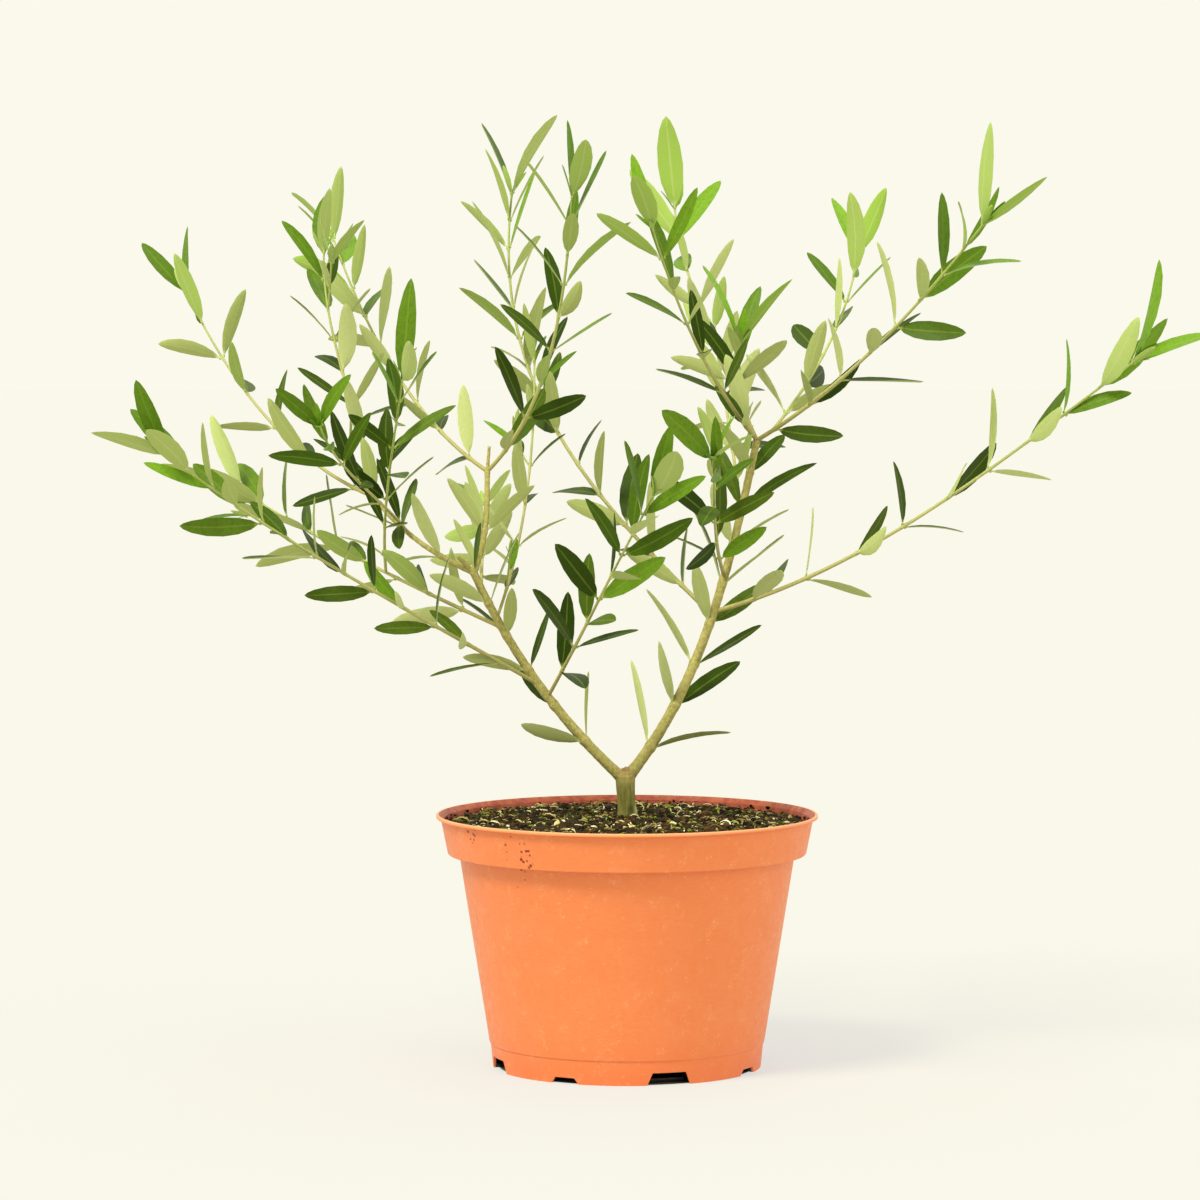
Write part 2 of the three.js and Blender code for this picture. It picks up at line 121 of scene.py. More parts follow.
# %% Socket arithmetic
class Value:
    """A socket of a material's graph that an expression can work on."""

    def __init__(self, finish, socket):
        self.finish = finish
        self.socket = socket

    def math(self, operation, *rest):
        sockets = dict(enumerate((self, *rest)))
        return self.finish.node("Math", {"operation": operation}, sockets)

    def __add__(self, other):
        return self.math("ADD", other)

    def __mul__(self, other):
        return self.math("MULTIPLY", other)

    def __sub__(self, other):
        return self.math("SUBTRACT", other)

    def __rsub__(self, other):
        return self * -1 + other

    __radd__ = __add__
    __rmul__ = __mul__

    def size(self):
        return self.math("ABSOLUTE")

    def step(self, low, high):
        """0 below `low`, 1 above `high`, smooth between them. It falls where low is above high."""
        ends = (low, high, 0, 1) if low < high else (high, low, 1, 0)
        sockets = dict(enumerate((self, *ends)))
        return self.finish.node("MapRange", {"interpolation_type": "SMOOTHSTEP"}, sockets)


# %% Materials
def linear(*rgb):
    """A colour of 0 to 255, as the light that Blender mixes."""
    shares = [v / 255 for v in rgb]
    light = [s / 12.92 if s <= 0.04045 else ((s + 0.055) / 1.055) ** 2.4 for s in shares]
    return (*light, 1)


class Finish:
    """A material in the making: one Principled shader, and the nodes that feed it."""

    def __init__(self, name):
        self.material = bpy.data.materials.new(name)
        self.material.use_nodes = True
        self.tree = self.material.node_tree
        self.tree.nodes.clear()
        self.place = self.node("TexCoord", {}, {}, "Object")

    def node(self, kind, settings, sockets, output=0):
        made = self.tree.nodes.new("ShaderNode" + kind)
        for key, value in settings.items():
            setattr(made, key, value)
        for key, value in sockets.items():
            if isinstance(value, Value):
                self.tree.links.new(value.socket, made.inputs[key])
            else:
                made.inputs[key].default_value = value
        return Value(self, made.outputs[output]) if made.outputs else made

    def blend(self, share, low, high):
        """The colour `low` where share is 0, and `high` where it is 1."""
        return self.node("Mix", {"data_type": "RGBA"}, {0: share, 6: low, 7: high}, 2)

    def cloud(self, scale, detail=2.0, roughness=0.5, place=None):
        """Soft noise round 0.5. `scale` is in waves for each metre."""
        sockets = {"Vector": place or self.place, "Scale": scale, "Detail": detail,
                   "Roughness": roughness}
        return self.node("TexNoise", {}, sockets)

    def cells(self, scale, feature="F1", place=None):
        """The distance to the nearest of many scattered points, or to the edge between two."""
        sockets = {"Vector": place or self.place, "Scale": scale}
        return self.node("TexVoronoi", {"feature": feature}, sockets, "Distance")

    def stretched(self, x, y, z):
        return self.node("Mapping", {}, {"Vector": self.place, "Scale": (x, y, z)})

    def height(self):
        """The height above the ground in millimetres."""
        return self.node("SeparateXYZ", {}, {0: self.place}, "Z") * (1 / MM)

    def radius(self):
        """The distance from the upright axis in millimetres."""
        flat = self.stretched(1, 1, 0)
        return self.node("VectorMath", {"operation": "LENGTH"}, {0: flat}, 1) * (1 / MM)

    def nearness(self, centre, reach):
        """1 at a point of the object, given in millimetres, and 0 beyond `reach` of it."""
        middle = [v * MM for v in centre]
        rule = {"operation": "DISTANCE"}
        return self.node("VectorMath", rule, {0: self.place, 1: middle}, 1).step(reach * MM, 0)

    def near(self, spots):
        """The nearness to several spots, each a centre and a reach, added up."""
        first, *rest = (self.nearness(centre, reach) for centre, reach in spots)
        return sum(rest, first)

    def own(self, name):
        """A number that the mesh itself carries at each point."""
        return self.node("Attribute", {"attribute_name": name}, {}, "Fac")

    def bump(self, height, strength, depth):
        sockets = {"Height": height, "Strength": strength, "Distance": depth * MM}
        return self.node("Bump", {}, sockets)

    def done(self, **sockets):
        """Sets the shader's sockets and gives the finished material."""
        shader = self.node("BsdfPrincipled", {},
                           {name.replace("_", " "): value for name, value in sockets.items()})
        self.node("OutputMaterial", {}, {"Surface": shader})
        return self.material


print("half grey, 128 of 255, is", round(linear(128)[0], 3), "of full light")

# %% [markdown]
# ## Floor, sky and lamps
#
# The tree stands on a plain cream floor that runs on into a cream sky with no line between them.
# The lamps are far and wide, so they light every part of the floor alike: a key from the upper
# left, a weak fill from the right and one from above and behind. The floor reflects only a small
# warm share of that light, which is the part that a shadow can take away, and its own light makes
# up the rest of the cream.

# %% Lamps
# Each lamp: the direction it stands in, how wide it looks in degrees, and its power.
LAMPS = {
    "key_lamp": ((-0.62, -0.66, 1.2), 18, 3.1),
    "fill_lamp": ((0.85, -0.55, 0.35), 60, 0.75),
    "top_lamp": ((0.1, 0.5, 1.0), 50, 0.5),
}
floor_light = 1.0  # from the sky alone
for name, (direction, width, power) in LAMPS.items():
    light = bpy.data.lights.new(name, "SUN")
    light.angle = math.radians(width)
    light.energy = power
    made = bpy.data.objects.new(name, light)
    made.rotation_euler = Vector(direction).to_track_quat("Z", "Y").to_euler()
    scene.collection.objects.link(made)
    floor_light += power * Vector(direction).normalized().z / math.pi
print("the floor gets", round(floor_light, 3), "times the sky's own light")

# %% Floor and sky
CREAM = linear(251, 249, 236)
FLOOR_REFLECTS = (0.185, 0.172, 0.11)
FLOOR_SIZE = 60
COVERED = 67  # the floor has no light of its own under the pot, inside this radius in mm


def floor_finish():
    f = Finish("cream_floor")
    own = [cream - share * floor_light for cream, share in zip(CREAM, FLOOR_REFLECTS)]
    covered = f.radius().step(COVERED + 1, COVERED)
    return f.done(Base_Color=(*FLOOR_REFLECTS, 1), Roughness=1.0,
                  Emission_Color=f.blend(covered, (*own, 1), (0, 0, 0, 1)),
                  Emission_Strength=1.0, Specular_IOR_Level=0.0)


def clear_selection():
    if bpy.context.object and bpy.context.object.mode != "OBJECT":
        bpy.ops.object.mode_set(mode="OBJECT")
    bpy.ops.object.select_all(action="DESELECT")


def pick(piece):
    """Makes the piece the only one selected, and the active one."""
    clear_selection()
    piece.select_set(True)
    bpy.context.view_layer.objects.active = piece


clear_selection()
bpy.ops.mesh.primitive_plane_add(size=FLOOR_SIZE, location=(0, 0, 0))
floor = bpy.context.object
floor.name = "floor"
floor.data.materials.append(floor_finish())
floor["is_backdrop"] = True

world = bpy.data.worlds.new("cream_sky")
world.use_nodes = True
world.node_tree.nodes["Background"].inputs["Color"].default_value = CREAM
scene.world = world
scene.view_settings.view_transform = "Standard"
print("floor", FLOOR_SIZE, "m across")

# %% [markdown]
# ## Two makers
#
# Big pieces are made by hand, with the same operators that a person uses in the window. Small
# things that repeat by the hundred are gathered in a heap of points and faces, and become one
# mesh at the end. Both ways end in the same step, which names the CAD body that the piece rides
# on and the CAD nodes that it stands for.

# %% Hand-made pieces and heaps
def settle(piece, name, finishes, nodes):
    """Gives a finished piece its name, materials and place in the frame."""
    piece.name = name
    piece.data.name = name
    for finish in finishes:
        piece.data.materials.append(finish)
    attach(piece, BODY)
    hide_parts(*nodes)
    print(name, len(piece.data.vertices), "points,", len(piece.data.polygons), "faces")


def smooth(piece, angle):
    """Shades the piece smooth, apart from edges sharper than the angle in degrees."""
    pick(piece)
    bpy.ops.object.shade_smooth_by_angle(angle=math.radians(angle))


def apply(piece, kind, **settings):
    """Adds a modifier and applies it."""
    pick(piece)
    modifier = piece.modifiers.new(kind.lower(), kind)
    for key, value in settings.items():
        setattr(modifier, key, value)
    bpy.ops.object.modifier_apply(modifier=modifier.name)


class Heap:
    """Many small shapes that become one mesh. `notes` name the numbers kept at each point."""

    def __init__(self, *notes):
        self.points = []
        self.faces = []
        self.slots = []
        self.notes = {name: [] for name in notes}
        self.count = 0

    def add(self, points, faces, slots=None, **notes):
        self.points.append(np.asarray(points, float))
        self.faces += [tuple(i + self.count for i in face) for face in faces]
        self.slots += slots or [0] * len(faces)
        for name, value in notes.items():
            self.notes[name].append(np.broadcast_to(value, len(points)))
        self.count += len(points)

    def piece(self, name, finishes, finish_slot, nodes, angle=50):
        mesh = bpy.data.meshes.new(name)
        mesh.from_pydata(np.concatenate(self.points) * MM, [], self.faces)
        mesh.polygons.foreach_set("material_index", self.slots)
        for note, values in self.notes.items():
            own = mesh.attributes.new(note, "FLOAT", "POINT")
            own.data.foreach_set("value", np.concatenate(values).astype(np.float32))
        made = bpy.data.objects.new(name, mesh)
        scene.collection.objects.link(made)
        settle(made, name, finishes, nodes)
        smooth(made, angle)


# %% [markdown]
# ## The pot
#
# A nursery pot is blown or pressed from thin plastic: a tapered wall, a foot band that stands
# back a little, a deep collar for stacking, and a thin rolled lip. A lathe profile would do, but
# the same shape grows by hand from one disc: extrude, scale, and again, up the outside, over the
# lip and down the inside to the floor. The drainage slots are then cut with wedge-shaped blocks,
# and a small bevel takes the sharpness off every edge.

# %% Pot sizes
POT = dict(rim=100, height=132.5, wall=1.6, lip_width=1.4, lip_depth=2.4, edge=0.4,
           collar_top=97.6, collar_foot=94, collar_height=112, wall_top=88, wall_foot=72.2,
           step=0.6, band=13, foot=70.4, floor=2)
POT_SIDES = 144
LIP_FOOT = POT["height"] - POT["lip_depth"]
WALL_SLOPE = (POT["wall_top"] - POT["wall_foot"]) / (POT["collar_height"] - POT["band"])
COLLAR_SLOPE = (POT["collar_top"] - POT["collar_foot"]) / (LIP_FOOT - POT["collar_height"])
SLOT_SIZES = [(24, 6.5), (17, 3.2)]
SLOT_COUNT = 8
FIRST_SLOT = 18
SLOT_INNER, SLOT_OUTER, SLOT_SLANT = 60, 82, 3
BEVEL = 0.45


def pot_outline():
    """Radius and height, from the foot up the outside and down the inside."""
    p = POT
    ledge = p["collar_height"] + p["wall"]
    return [
        (p["foot"], 0),
        (p["wall_foot"] - p["step"], p["band"] - p["step"]),
        (p["wall_foot"], p["band"]),
        (p["wall_top"], p["collar_height"]),
        (p["collar_foot"] - p["edge"], p["collar_height"]),
        (p["collar_foot"], p["collar_height"] + p["edge"]),
        (p["collar_top"], LIP_FOOT),
        (p["rim"], LIP_FOOT + 2 * p["edge"]),
        (p["rim"], p["height"] - p["edge"]),
        (p["rim"] - p["edge"], p["height"]),
        (p["rim"] - p["lip_width"], p["height"]),
        (p["collar_top"] - p["wall"], LIP_FOOT),
        (p["collar_foot"] - p["wall"], ledge),
        (p["wall_top"] - p["wall"], ledge),
        (p["foot"] + WALL_SLOPE * p["floor"] - p["wall"], p["floor"]),
    ]


# %% Turning a profile from a disc
def rise_from_disc(outline, sides):
    """Extrudes and scales a disc through the outline. The last ring keeps its lid."""
    clear_selection()
    radius, height = outline[0]
    bpy.ops.mesh.primitive_circle_add(vertices=sides, radius=radius * MM, fill_type="NGON",
                                      location=(0, 0, height * MM))
    made = bpy.context.object
    bpy.ops.object.transform_apply(location=True, rotation=True, scale=True)
    bpy.ops.object.mode_set(mode="EDIT")
    bpy.ops.mesh.select_all(action="SELECT")
    for (r0, z0), (r1, z1) in zip(outline, outline[1:]):
        bpy.ops.mesh.extrude_region_move(TRANSFORM_OT_translate={"value": (0, 0, (z1 - z0) * MM)})
        bpy.ops.transform.resize(value=(r1 / r0, r1 / r0, 1), center_override=(0, 0, z1 * MM))
    bpy.ops.mesh.select_all(action="SELECT")
    bpy.ops.mesh.normals_make_consistent(inside=False)
    bpy.ops.object.mode_set(mode="OBJECT")
    return made


def slot_block(i):
    """A block the shape of one drainage slot, a little narrower at its top."""
    width, height = SLOT_SIZES[i % 2]
    depth = SLOT_OUTER - SLOT_INNER
    middle = (SLOT_OUTER + SLOT_INNER) / 2
    clear_selection()
    bpy.ops.mesh.primitive_cube_add(size=1, location=(0, -middle * MM, (height - 1) / 2 * MM))
    block = bpy.context.object
    block.scale = (width * MM, depth * MM, (height + 1) * MM)
    bpy.ops.object.transform_apply(location=True, rotation=True, scale=True)
    for corner in block.data.vertices:
        if corner.co.z > 0:
            corner.co.x -= math.copysign(SLOT_SLANT * MM, corner.co.x)
    turn = math.radians(FIRST_SLOT + 360 / SLOT_COUNT * i)
    block.rotation_euler = (0, 0, turn)
    bpy.ops.object.transform_apply(location=True, rotation=True, scale=True)
    return block


# %% Pot plastic
ORANGE = linear(229, 126, 66)
PALE_ORANGE = linear(236, 143, 88)
DEEP_ORANGE = linear(224, 110, 54)
DUSTY = linear(243, 184, 124)
LIP_HIGHLIGHT = linear(226, 158, 104)
INSIDE_SHADE_AND_STAIN = linear(142, 52, 22)
SLOT_SHADE_BLACK = linear(26, 10, 5)
SOIL_STAIN = linear(128, 40, 8)
HIGHLIT_BAND = 1.4  # the band at the top of the lip that is painted pale as a highlight
LINED = 15  # how far below the lip's foot the dark inside is painted
BEHIND_SLOTS = 8  # everything behind the wall is painted black as shade up to this height
SPLASHES = [((-54, -79, 121), 17), ((-80, -55, 128), 10), ((-57, -68, 107), 9)]


def pot_finish():
    f = Finish("terracotta_plastic")
    height = f.height()
    tint = f.blend(f.cloud(70, 4, 0.7).step(0.3, 0.75) * 0.3, ORANGE, PALE_ORANGE)
    # The pot is painted a deeper orange towards its foot.
    tint = f.blend(height.step(30, 0) * 0.6, tint, DEEP_ORANGE)
    # The mould leaves a fine level grain all round.
    grain = f.cloud(260, 5, 0.75, f.stretched(1, 1, 3.5)).step(0.42, 0.66)
    tint = f.blend(grain * 0.3, tint, DEEP_ORANGE)
    # Rubbed dust gathers in small soft flecks.
    flecks = f.cells(620).step(0.2, 0.06) * f.cloud(70, 2).step(0.54, 0.68)
    tint = f.blend(flecks * 0.5, tint, DUSTY)
    # Handling leaves short curved scratches and small broken rings.
    bent = f.node("Mix", {"data_type": "VECTOR"},
                  {0: 0.035, 4: f.place, 5: f.node("TexNoise", {}, {"Scale": 55.0}, "Color")}, 1)
    scratch = f.cells(90, "DISTANCE_TO_EDGE", bent).step(0.025, 0.01)
    rings = (f.cells(150, place=bent) - 0.3).size().step(0.06, 0.02)
    marks = scratch * f.cloud(120, 1).step(0.6, 0.66) + rings * f.cloud(190, 1).step(0.62, 0.68)
    tint = f.blend(marks * 0.55, tint, DUSTY)
    # A pale band is painted on top of the lip as a highlight. The inside is painted dark as shade,
    # partly soil stain, and painted black behind the slots as shade.
    top = POT["height"]
    tint = f.blend(height.step(top - HIGHLIT_BAND, top - HIGHLIT_BAND / 2) * 0.85, tint, LIP_HIGHLIGHT)
    # `depth` is how far a point lies behind the collar's outer face.
    depth = (height - LIP_FOOT) * COLLAR_SLOPE + POT["collar_top"] - f.radius()
    # The inside of the collar and the lip is painted darker, as shade with some soil stain, in
    # uneven patches.
    uneven_shade_and_stain = f.cloud(240, 3).step(0.3, 0.7) * 0.25 + 0.75
    lining = depth.step(0.2, 0.5) * height.step(LIP_FOOT - LINED, LIP_FOOT - LINED + 1)
    mouth = POT["rim"] - POT["lip_width"]
    lip = f.radius().step(mouth + 0.2, mouth) * height.step(LIP_FOOT + 0.8, LIP_FOOT + 1)
    tint = f.blend((lining + lip).step(0, 1) * uneven_shade_and_stain, tint, INSIDE_SHADE_AND_STAIN)
    # Painted shade: inside the pot, behind the slots, is painted black.
    behind = f.radius().step(POT["foot"] - 0.6, POT["foot"] - 1.2)
    tint = f.blend(behind * height.step(BEHIND_SLOTS, BEHIND_SLOTS - 1), tint, SLOT_SHADE_BLACK)
    # Wet potting mix has splashed the left side of the collar.
    specks = f.cells(420).step(0.42, 0.3) * f.cloud(150, 1).step(0.5, 0.56)
    tint = f.blend(specks * f.near(SPLASHES).step(0.1, 0.5), tint, SOIL_STAIN)
    rub = f.cloud(260, 3).step(0.35, 0.7)
    return f.done(Base_Color=tint, Roughness=0.42 + rub * 0.14, Specular_IOR_Level=0.4,
                  Normal=f.bump(f.cloud(420, 3) + marks * 0.4, 0.16, 0.25))


# %% Make the pot
pot = rise_from_disc(pot_outline(), POT_SIDES)
for i in range(SLOT_COUNT):
    block = slot_block(i)
    apply(pot, "BOOLEAN", operation="DIFFERENCE", object=block, solver="EXACT")
    bpy.data.objects.remove(block)
apply(pot, "BEVEL", width=BEVEL * MM, segments=3, limit_method="ANGLE",
      angle_limit=math.radians(28))
settle(pot, "nursery_pot", [pot_finish()], ["pot"])
smooth(pot, 35)

# %% [markdown]
# ## The potting mix
#
# Damp peat is nearly black, and lies in crumbs with hollows between them. Some cling to the wall
# just above. Moss and straw, pale grains and flat scraps of leaf lie all over it. The ball itself
# is one closed piece: it rises from a disc as the pot did, and noise moves each point of its top.
# The crumbs and the rest are small shapes made once, then squeezed, turned and scattered.

# %% Potting mix sizes
SOIL = dict(centre=131.2, edge=127.2, flat=9, slack=66, slack_height=130, inset=14, foot=10,
            gap=0.6)
GAP = 0.3  # the solids stand clear of each other by this much
SOIL_SIDES = 150
SOIL_RINGS = 44
SOIL_EYE = 1.2  # the radius of its innermost ring
RELIEF = 1.9
LUMP, GRAIN = 9, 2.6  # the breadth of its coarse and its fine swellings
TRUNK_SHARE = 0.006  # the share of the surface that the trunk's foot takes
WALL_CRUMBS = 2.8  # crumbs cling to the wall up to this far above the mix


def collar_inside(height):
    """The radius that the mix fills inside the collar."""
    return POT["collar_top"] - COLLAR_SLOPE * (LIP_FOOT - height) - POT["wall"] - 2 * GAP


SOIL_TOP = collar_inside(SOIL["edge"])


def soil_level(radius):
    """The height of the mix's surface before its crumbs."""
    stops = [0, SOIL["flat"], 3 * SOIL["flat"], SOIL["slack"], SOIL_TOP]
    levels = [SOIL["centre"], SOIL["centre"], SOIL["centre"] - GAP, SOIL["slack_height"],
              SOIL["edge"]]
    return float(np.interp(radius, stops, levels))


def clamp(v):
    return min(1, max(0, v))


def soil_relief(x, y):
    """How far crumbs lift or sink the surface. It fades out under the trunk and at the wall."""
    radius = math.hypot(x, y)
    fade = clamp((radius - 6) / 8) * clamp((SOIL_TOP - radius) / 3)
    coarse = noise.noise(Vector((x / LUMP, y / LUMP, 3.1)))
    fine = noise.noise(Vector((x / GRAIN, y / GRAIN, 7.7)))
    return fade * RELIEF * (1.1 * coarse + 0.7 * fine)


# %% Make the root ball
def ball_outline():
    inset = POT["wall"] + GAP + SOIL["gap"]
    foot = POT["foot"] - POT["wall"] - GAP - SOIL["inset"]
    ledge = POT["collar_height"] + POT["wall"] + GAP
    sides = [
        (foot, POT["floor"] + GAP),
        (foot, SOIL["foot"]),
        (POT["foot"] + WALL_SLOPE * SOIL["foot"] - inset, SOIL["foot"]),
        (POT["wall_top"] - inset, ledge),
        (collar_inside(ledge), ledge),
        (SOIL_TOP, SOIL["edge"]),
    ]
    rings = np.linspace(SOIL_TOP, SOIL_EYE, SOIL_RINGS)[1:]
    return sides + [(r, soil_level(r)) for r in rings]


def peat_finish():
    f = Finish("damp_peat")
    tint = f.blend(f.cloud(700, 4, 0.7).step(0.35, 0.7), linear(24, 17, 6), linear(70, 52, 22))
    # Painted shade: the foot of the ball, seen through the drainage slots, is painted black.
    tint = f.blend(f.height().step(BEHIND_SLOTS + 3, BEHIND_SLOTS + 2), tint, SLOT_SHADE_BLACK)
    return f.done(Base_Color=tint, Roughness=0.9, Specular_IOR_Level=0.1,
                  Normal=f.bump(f.cloud(1500, 4, 0.7), 0.6, 0.6))


ball = rise_from_disc(ball_outline(), SOIL_SIDES)
for corner in ball.data.vertices:
    x, y, z = corner.co / MM
    if z >= SOIL["edge"] - GAP:
        corner.co.z += soil_relief(x, y) * MM
settle(ball, "potting_mix", [peat_finish()], ["soil"])
smooth(ball, 60)

# %% Numbers by rule
WORD = 0xFFFFFFFF


def seeded(seed):
    """A small generator of numbers from 0 to 1, the same one that grows the CAD shoots."""
    state = seed & WORD

    def draw():
        nonlocal state
        state = (state + 0x6D2B79F5) & WORD
        t = ((state ^ state >> 15) * (state | 1)) & WORD
        t ^= (t + ((t ^ t >> 7) * (t | 61) & WORD)) & WORD
        return (t ^ t >> 14) / (WORD + 1)

    return draw


def around(draw, middle, spread):
    return middle + (2 * draw() - 1) * spread


def between(ends, share):
    """From the first end at share 0 to the second at share 1."""
    return ends[0] + (ends[1] - ends[0]) * share


# %% Crumbs, grains and strands
def crumb_shape():
    """Points and faces of one small lump, made by hand once and then copied."""
    clear_selection()
    bpy.ops.mesh.primitive_ico_sphere_add(subdivisions=1, radius=1)
    lump = bpy.context.object
    points = np.array([v.co[:] for v in lump.data.vertices])
    faces = [tuple(face.vertices) for face in lump.data.polygons]
    bpy.data.objects.remove(lump)
    return points, faces


def turn_flat(turn):
    c, s = math.cos(turn), math.sin(turn)
    return np.array([[c, -s, 0], [s, c, 0], [0, 0, 1]])


def random_turn(draw):
    """A rotation matrix from three drawn angles: round the upright, over, and round again."""
    first, over, last = (2 * math.pi * draw() for _ in range(3))
    c, s = math.cos(over), math.sin(over)
    lean = np.array([[1, 0, 0], [0, c, -s], [0, s, c]])
    return turn_flat(first) @ lean @ turn_flat(last)


def surface_spot(draw, sink):
    """A place on the mix, sunk a little. The root spreads the places evenly over its area."""
    radius = (SOIL_TOP - 2) * math.sqrt(between((TRUNK_SHARE, 1), draw()))
    turn = 2 * math.pi * draw()
    x, y = radius * math.cos(turn), radius * math.sin(turn)
    return np.array([x, y, soil_level(radius) + soil_relief(x, y) - sink])


def wall_spot(draw, _):
    """A place on the inside of the collar, just above the mix. Nothing sinks into the wall."""
    height = SOIL["edge"] + WALL_CRUMBS * draw() ** 2
    radius = collar_inside(height) + GAP
    turn = 2 * math.pi * draw()
    return np.array([radius * math.cos(turn), radius * math.sin(turn), height])


def scatter_lumps(name, finish, seed, count, sizes, flatness, spot=surface_spot):
    draw = seeded(seed)
    heap = Heap("tone")
    shape, faces = crumb_shape()
    for _ in range(count):
        size = between(sizes, draw() ** 2)
        squeeze = np.array([1, 0.55 + 0.4 * draw(), flatness + 0.3 * draw()])
        ragged = np.array([around(draw, 1, 0.22) for _ in shape])
        lump = (shape * ragged[:, None] * squeeze * size) @ random_turn(draw).T
        heap.add(lump + spot(draw, size * 0.15), faces, tone=draw())
    heap.piece(name, [finish], "soil", ["soil"], angle=30)


def toned_finish(name, low, middle, high, roughness=0.8):
    """Each shape of a heap is one plain colour between three, by its own tone."""
    f = Finish(name)
    low, middle, high = (linear(*colour) for colour in (low, middle, high))
    tone = f.own("tone")
    tint = f.blend(tone.step(0.0, 0.5), low, middle)
    tint = f.blend(tone.step(0.55, 1.0), tint, high)
    tint = f.blend(f.cloud(900, 3).step(0.4, 0.8) * 0.35, tint, low)
    return f.done(Base_Color=tint, Roughness=roughness, Specular_IOR_Level=0.12,
                  Normal=f.bump(f.cloud(1800, 3), 0.4, 0.3))


peat_crumbs = toned_finish("peat_crumbs", (14, 10, 3), (42, 29, 10), (92, 64, 28))
scatter_lumps("peat_crumbs", peat_crumbs, 11, 1500, (0.8, 3.0), 0.5)
scatter_lumps("wall_crumbs", peat_crumbs, 16, 180, (0.4, 1.6), 0.4, wall_spot)
pale_grit = toned_finish("pale_grit", (190, 178, 130), (222, 212, 172), (246, 240, 214), 0.7)
scatter_lumps("pale_grit", pale_grit, 12, 90, (0.5, 1.4), 0.6)
litter = toned_finish("leaf_litter", (58, 58, 12), (140, 122, 50), (216, 200, 124), 0.7)
scatter_lumps("leaf_litter", litter, 15, 380, (0.8, 2.8), 0.1)


# %% Moss strands
def tube(centres, radii, sides=3):
    """Points and faces of a closed round tube along the centres."""
    centres = np.asarray(centres, float)
    along = np.gradient(centres, axis=0)
    points = []
    for centre, direction, radius in zip(centres, along, radii):
        front, side = square_to(direction / np.linalg.norm(direction))
        for i in range(sides):
            turn = 2 * math.pi * i / sides
            points.append(centre + radius * (side * math.cos(turn) - front * math.sin(turn)))
    faces = [tuple(reversed(range(sides)))]
    for ring in range(len(centres) - 1):
        for i in range(sides):
            a, b = ring * sides + i, ring * sides + (i + 1) % sides
            faces.append((a, b, b + sides, a + sides))
    last = (len(centres) - 1) * sides
    faces.append(tuple(range(last, last + sides)))
    return np.array(points), faces


def square_to(along):
    """Two directions square to `along`. The first points to the front as far as it can."""
    front = np.array([0, -1, 0]) + along * along[1]
    front = front / np.linalg.norm(front)
    return front, np.cross(along, front)


def scatter_strands(name, finish, seed, count, lengths, girths, lift):
    draw = seeded(seed)
    heap = Heap("tone")
    for _ in range(count):
        foot = surface_spot(draw, 0.2)
        heading = 2 * math.pi * draw()
        curl = around(draw, 0, 1.6)
        length = between(lengths, draw() ** 2)
        girth = between(girths, draw())
        rise = lift * draw()
        centres = [foot]
        for step in range(4):
            turn = heading + curl * step / 3
            ahead = np.array([math.cos(turn), math.sin(turn), rise * (1 - step / 2)])
            centres.append(centres[-1] + ahead * length / 4)
        radii = girth * np.array([0.5, 1, 1, 0.8, 0.3])
        points, faces = tube(centres, radii)
        reach = np.hypot(points[:, 0], points[:, 1]).max()
        if reach < SOIL_TOP - 0.5:
            heap.add(points, faces, tone=draw())
    heap.piece(name, [finish], "soil", ["soil"], angle=60)


moss = toned_finish("green_moss", (24, 34, 4), (62, 78, 14), (156, 164, 52))
scatter_strands("green_moss", moss, 13, 800, (2, 7), (0.25, 0.65), 0.9)
straw = toned_finish("dry_straw", (110, 88, 40), (200, 182, 110), (250, 240, 190))
scatter_strands("dry_straw", straw, 14, 760, (1.6, 8), (0.2, 0.5), 1.0)

# %% [markdown]
# ## How the tree grows
#
# Every limb is a smooth curve from the place where it leaves its parent to its tip. Olive leaves
# stand in opposite pairs, and each pair is a quarter turn from the last. These are the sizes and
# the rule that the CAD solids grow by, so each fine leaf here takes the place of a plain one.
#
# `at` is the share of the parent's length where a limb leaves it. `rise` is its slope, seen from
# the front, at both ends: 0 is to the right, 90 straight up, 180 to the left. `girth` is its
# radius at both ends. It has so many `pairs` of leaves, the first one `bare` from its foot. `leaf`
# is their usual length, `tip_leaf` their length at the tip, and `roll` turns the last pair: 0 to
# both sides, 90 to the front and back. A `sweep` above 1 bends a limb more, `stub` is an end that
# was pruned, and `twigs` grow out of a shoot.

# %% Limb sizes
LEAF = dict(slimness=0.26, slimness_stray=0.06, root_depth=0.5, root_width=0.5,
            root_thick=0.45, thickness=0.018, widest=0.42, shoulder=0.77, shoulder_width=0.74,
            spread=52, tip_spread=26, stray=9, size_stray=0.18, bend=0.1)
PAIR_STRAY = 14
LIFT = np.array([0, 0, 0.28])  # leaves turn up, and show their faces to the light
LIGHT = np.array([0, -0.1, 0.35])
TWIST = 62
TWIGGY = 0.03  # the share of leaves that a short side twig takes the place of
FORK = (-1, 0, 150)

BOUGHS = [
    dict(name="bough_left", tip=(-80, -12, 260), rise=(138, 114), girth=(2.8, 2.0),
         pairs=6, bare=30, leaf=36, roll=60, stub=((-88, -14, 268), 1.2)),
    dict(name="bough_right", tip=(68, 10, 328), rise=(50, 78), girth=(3.0, 1.9),
         pairs=9, bare=22, leaf=42, roll=30),
    dict(name="bough_left_upper", parent="bough_left", at=1, tip=(-73, 0, 312), rise=(66, 90),
         girth=(1.8, 1.4), pairs=2, bare=22, leaf=34, roll=60, stub=((-72, 2, 325), 1.0)),
    dict(name="limb_left", parent="bough_left", at=1, tip=(-133, 15, 298), rise=(160, 128),
         girth=(1.5, 1.2), pairs=3, bare=20, leaf=34, roll=40),
]

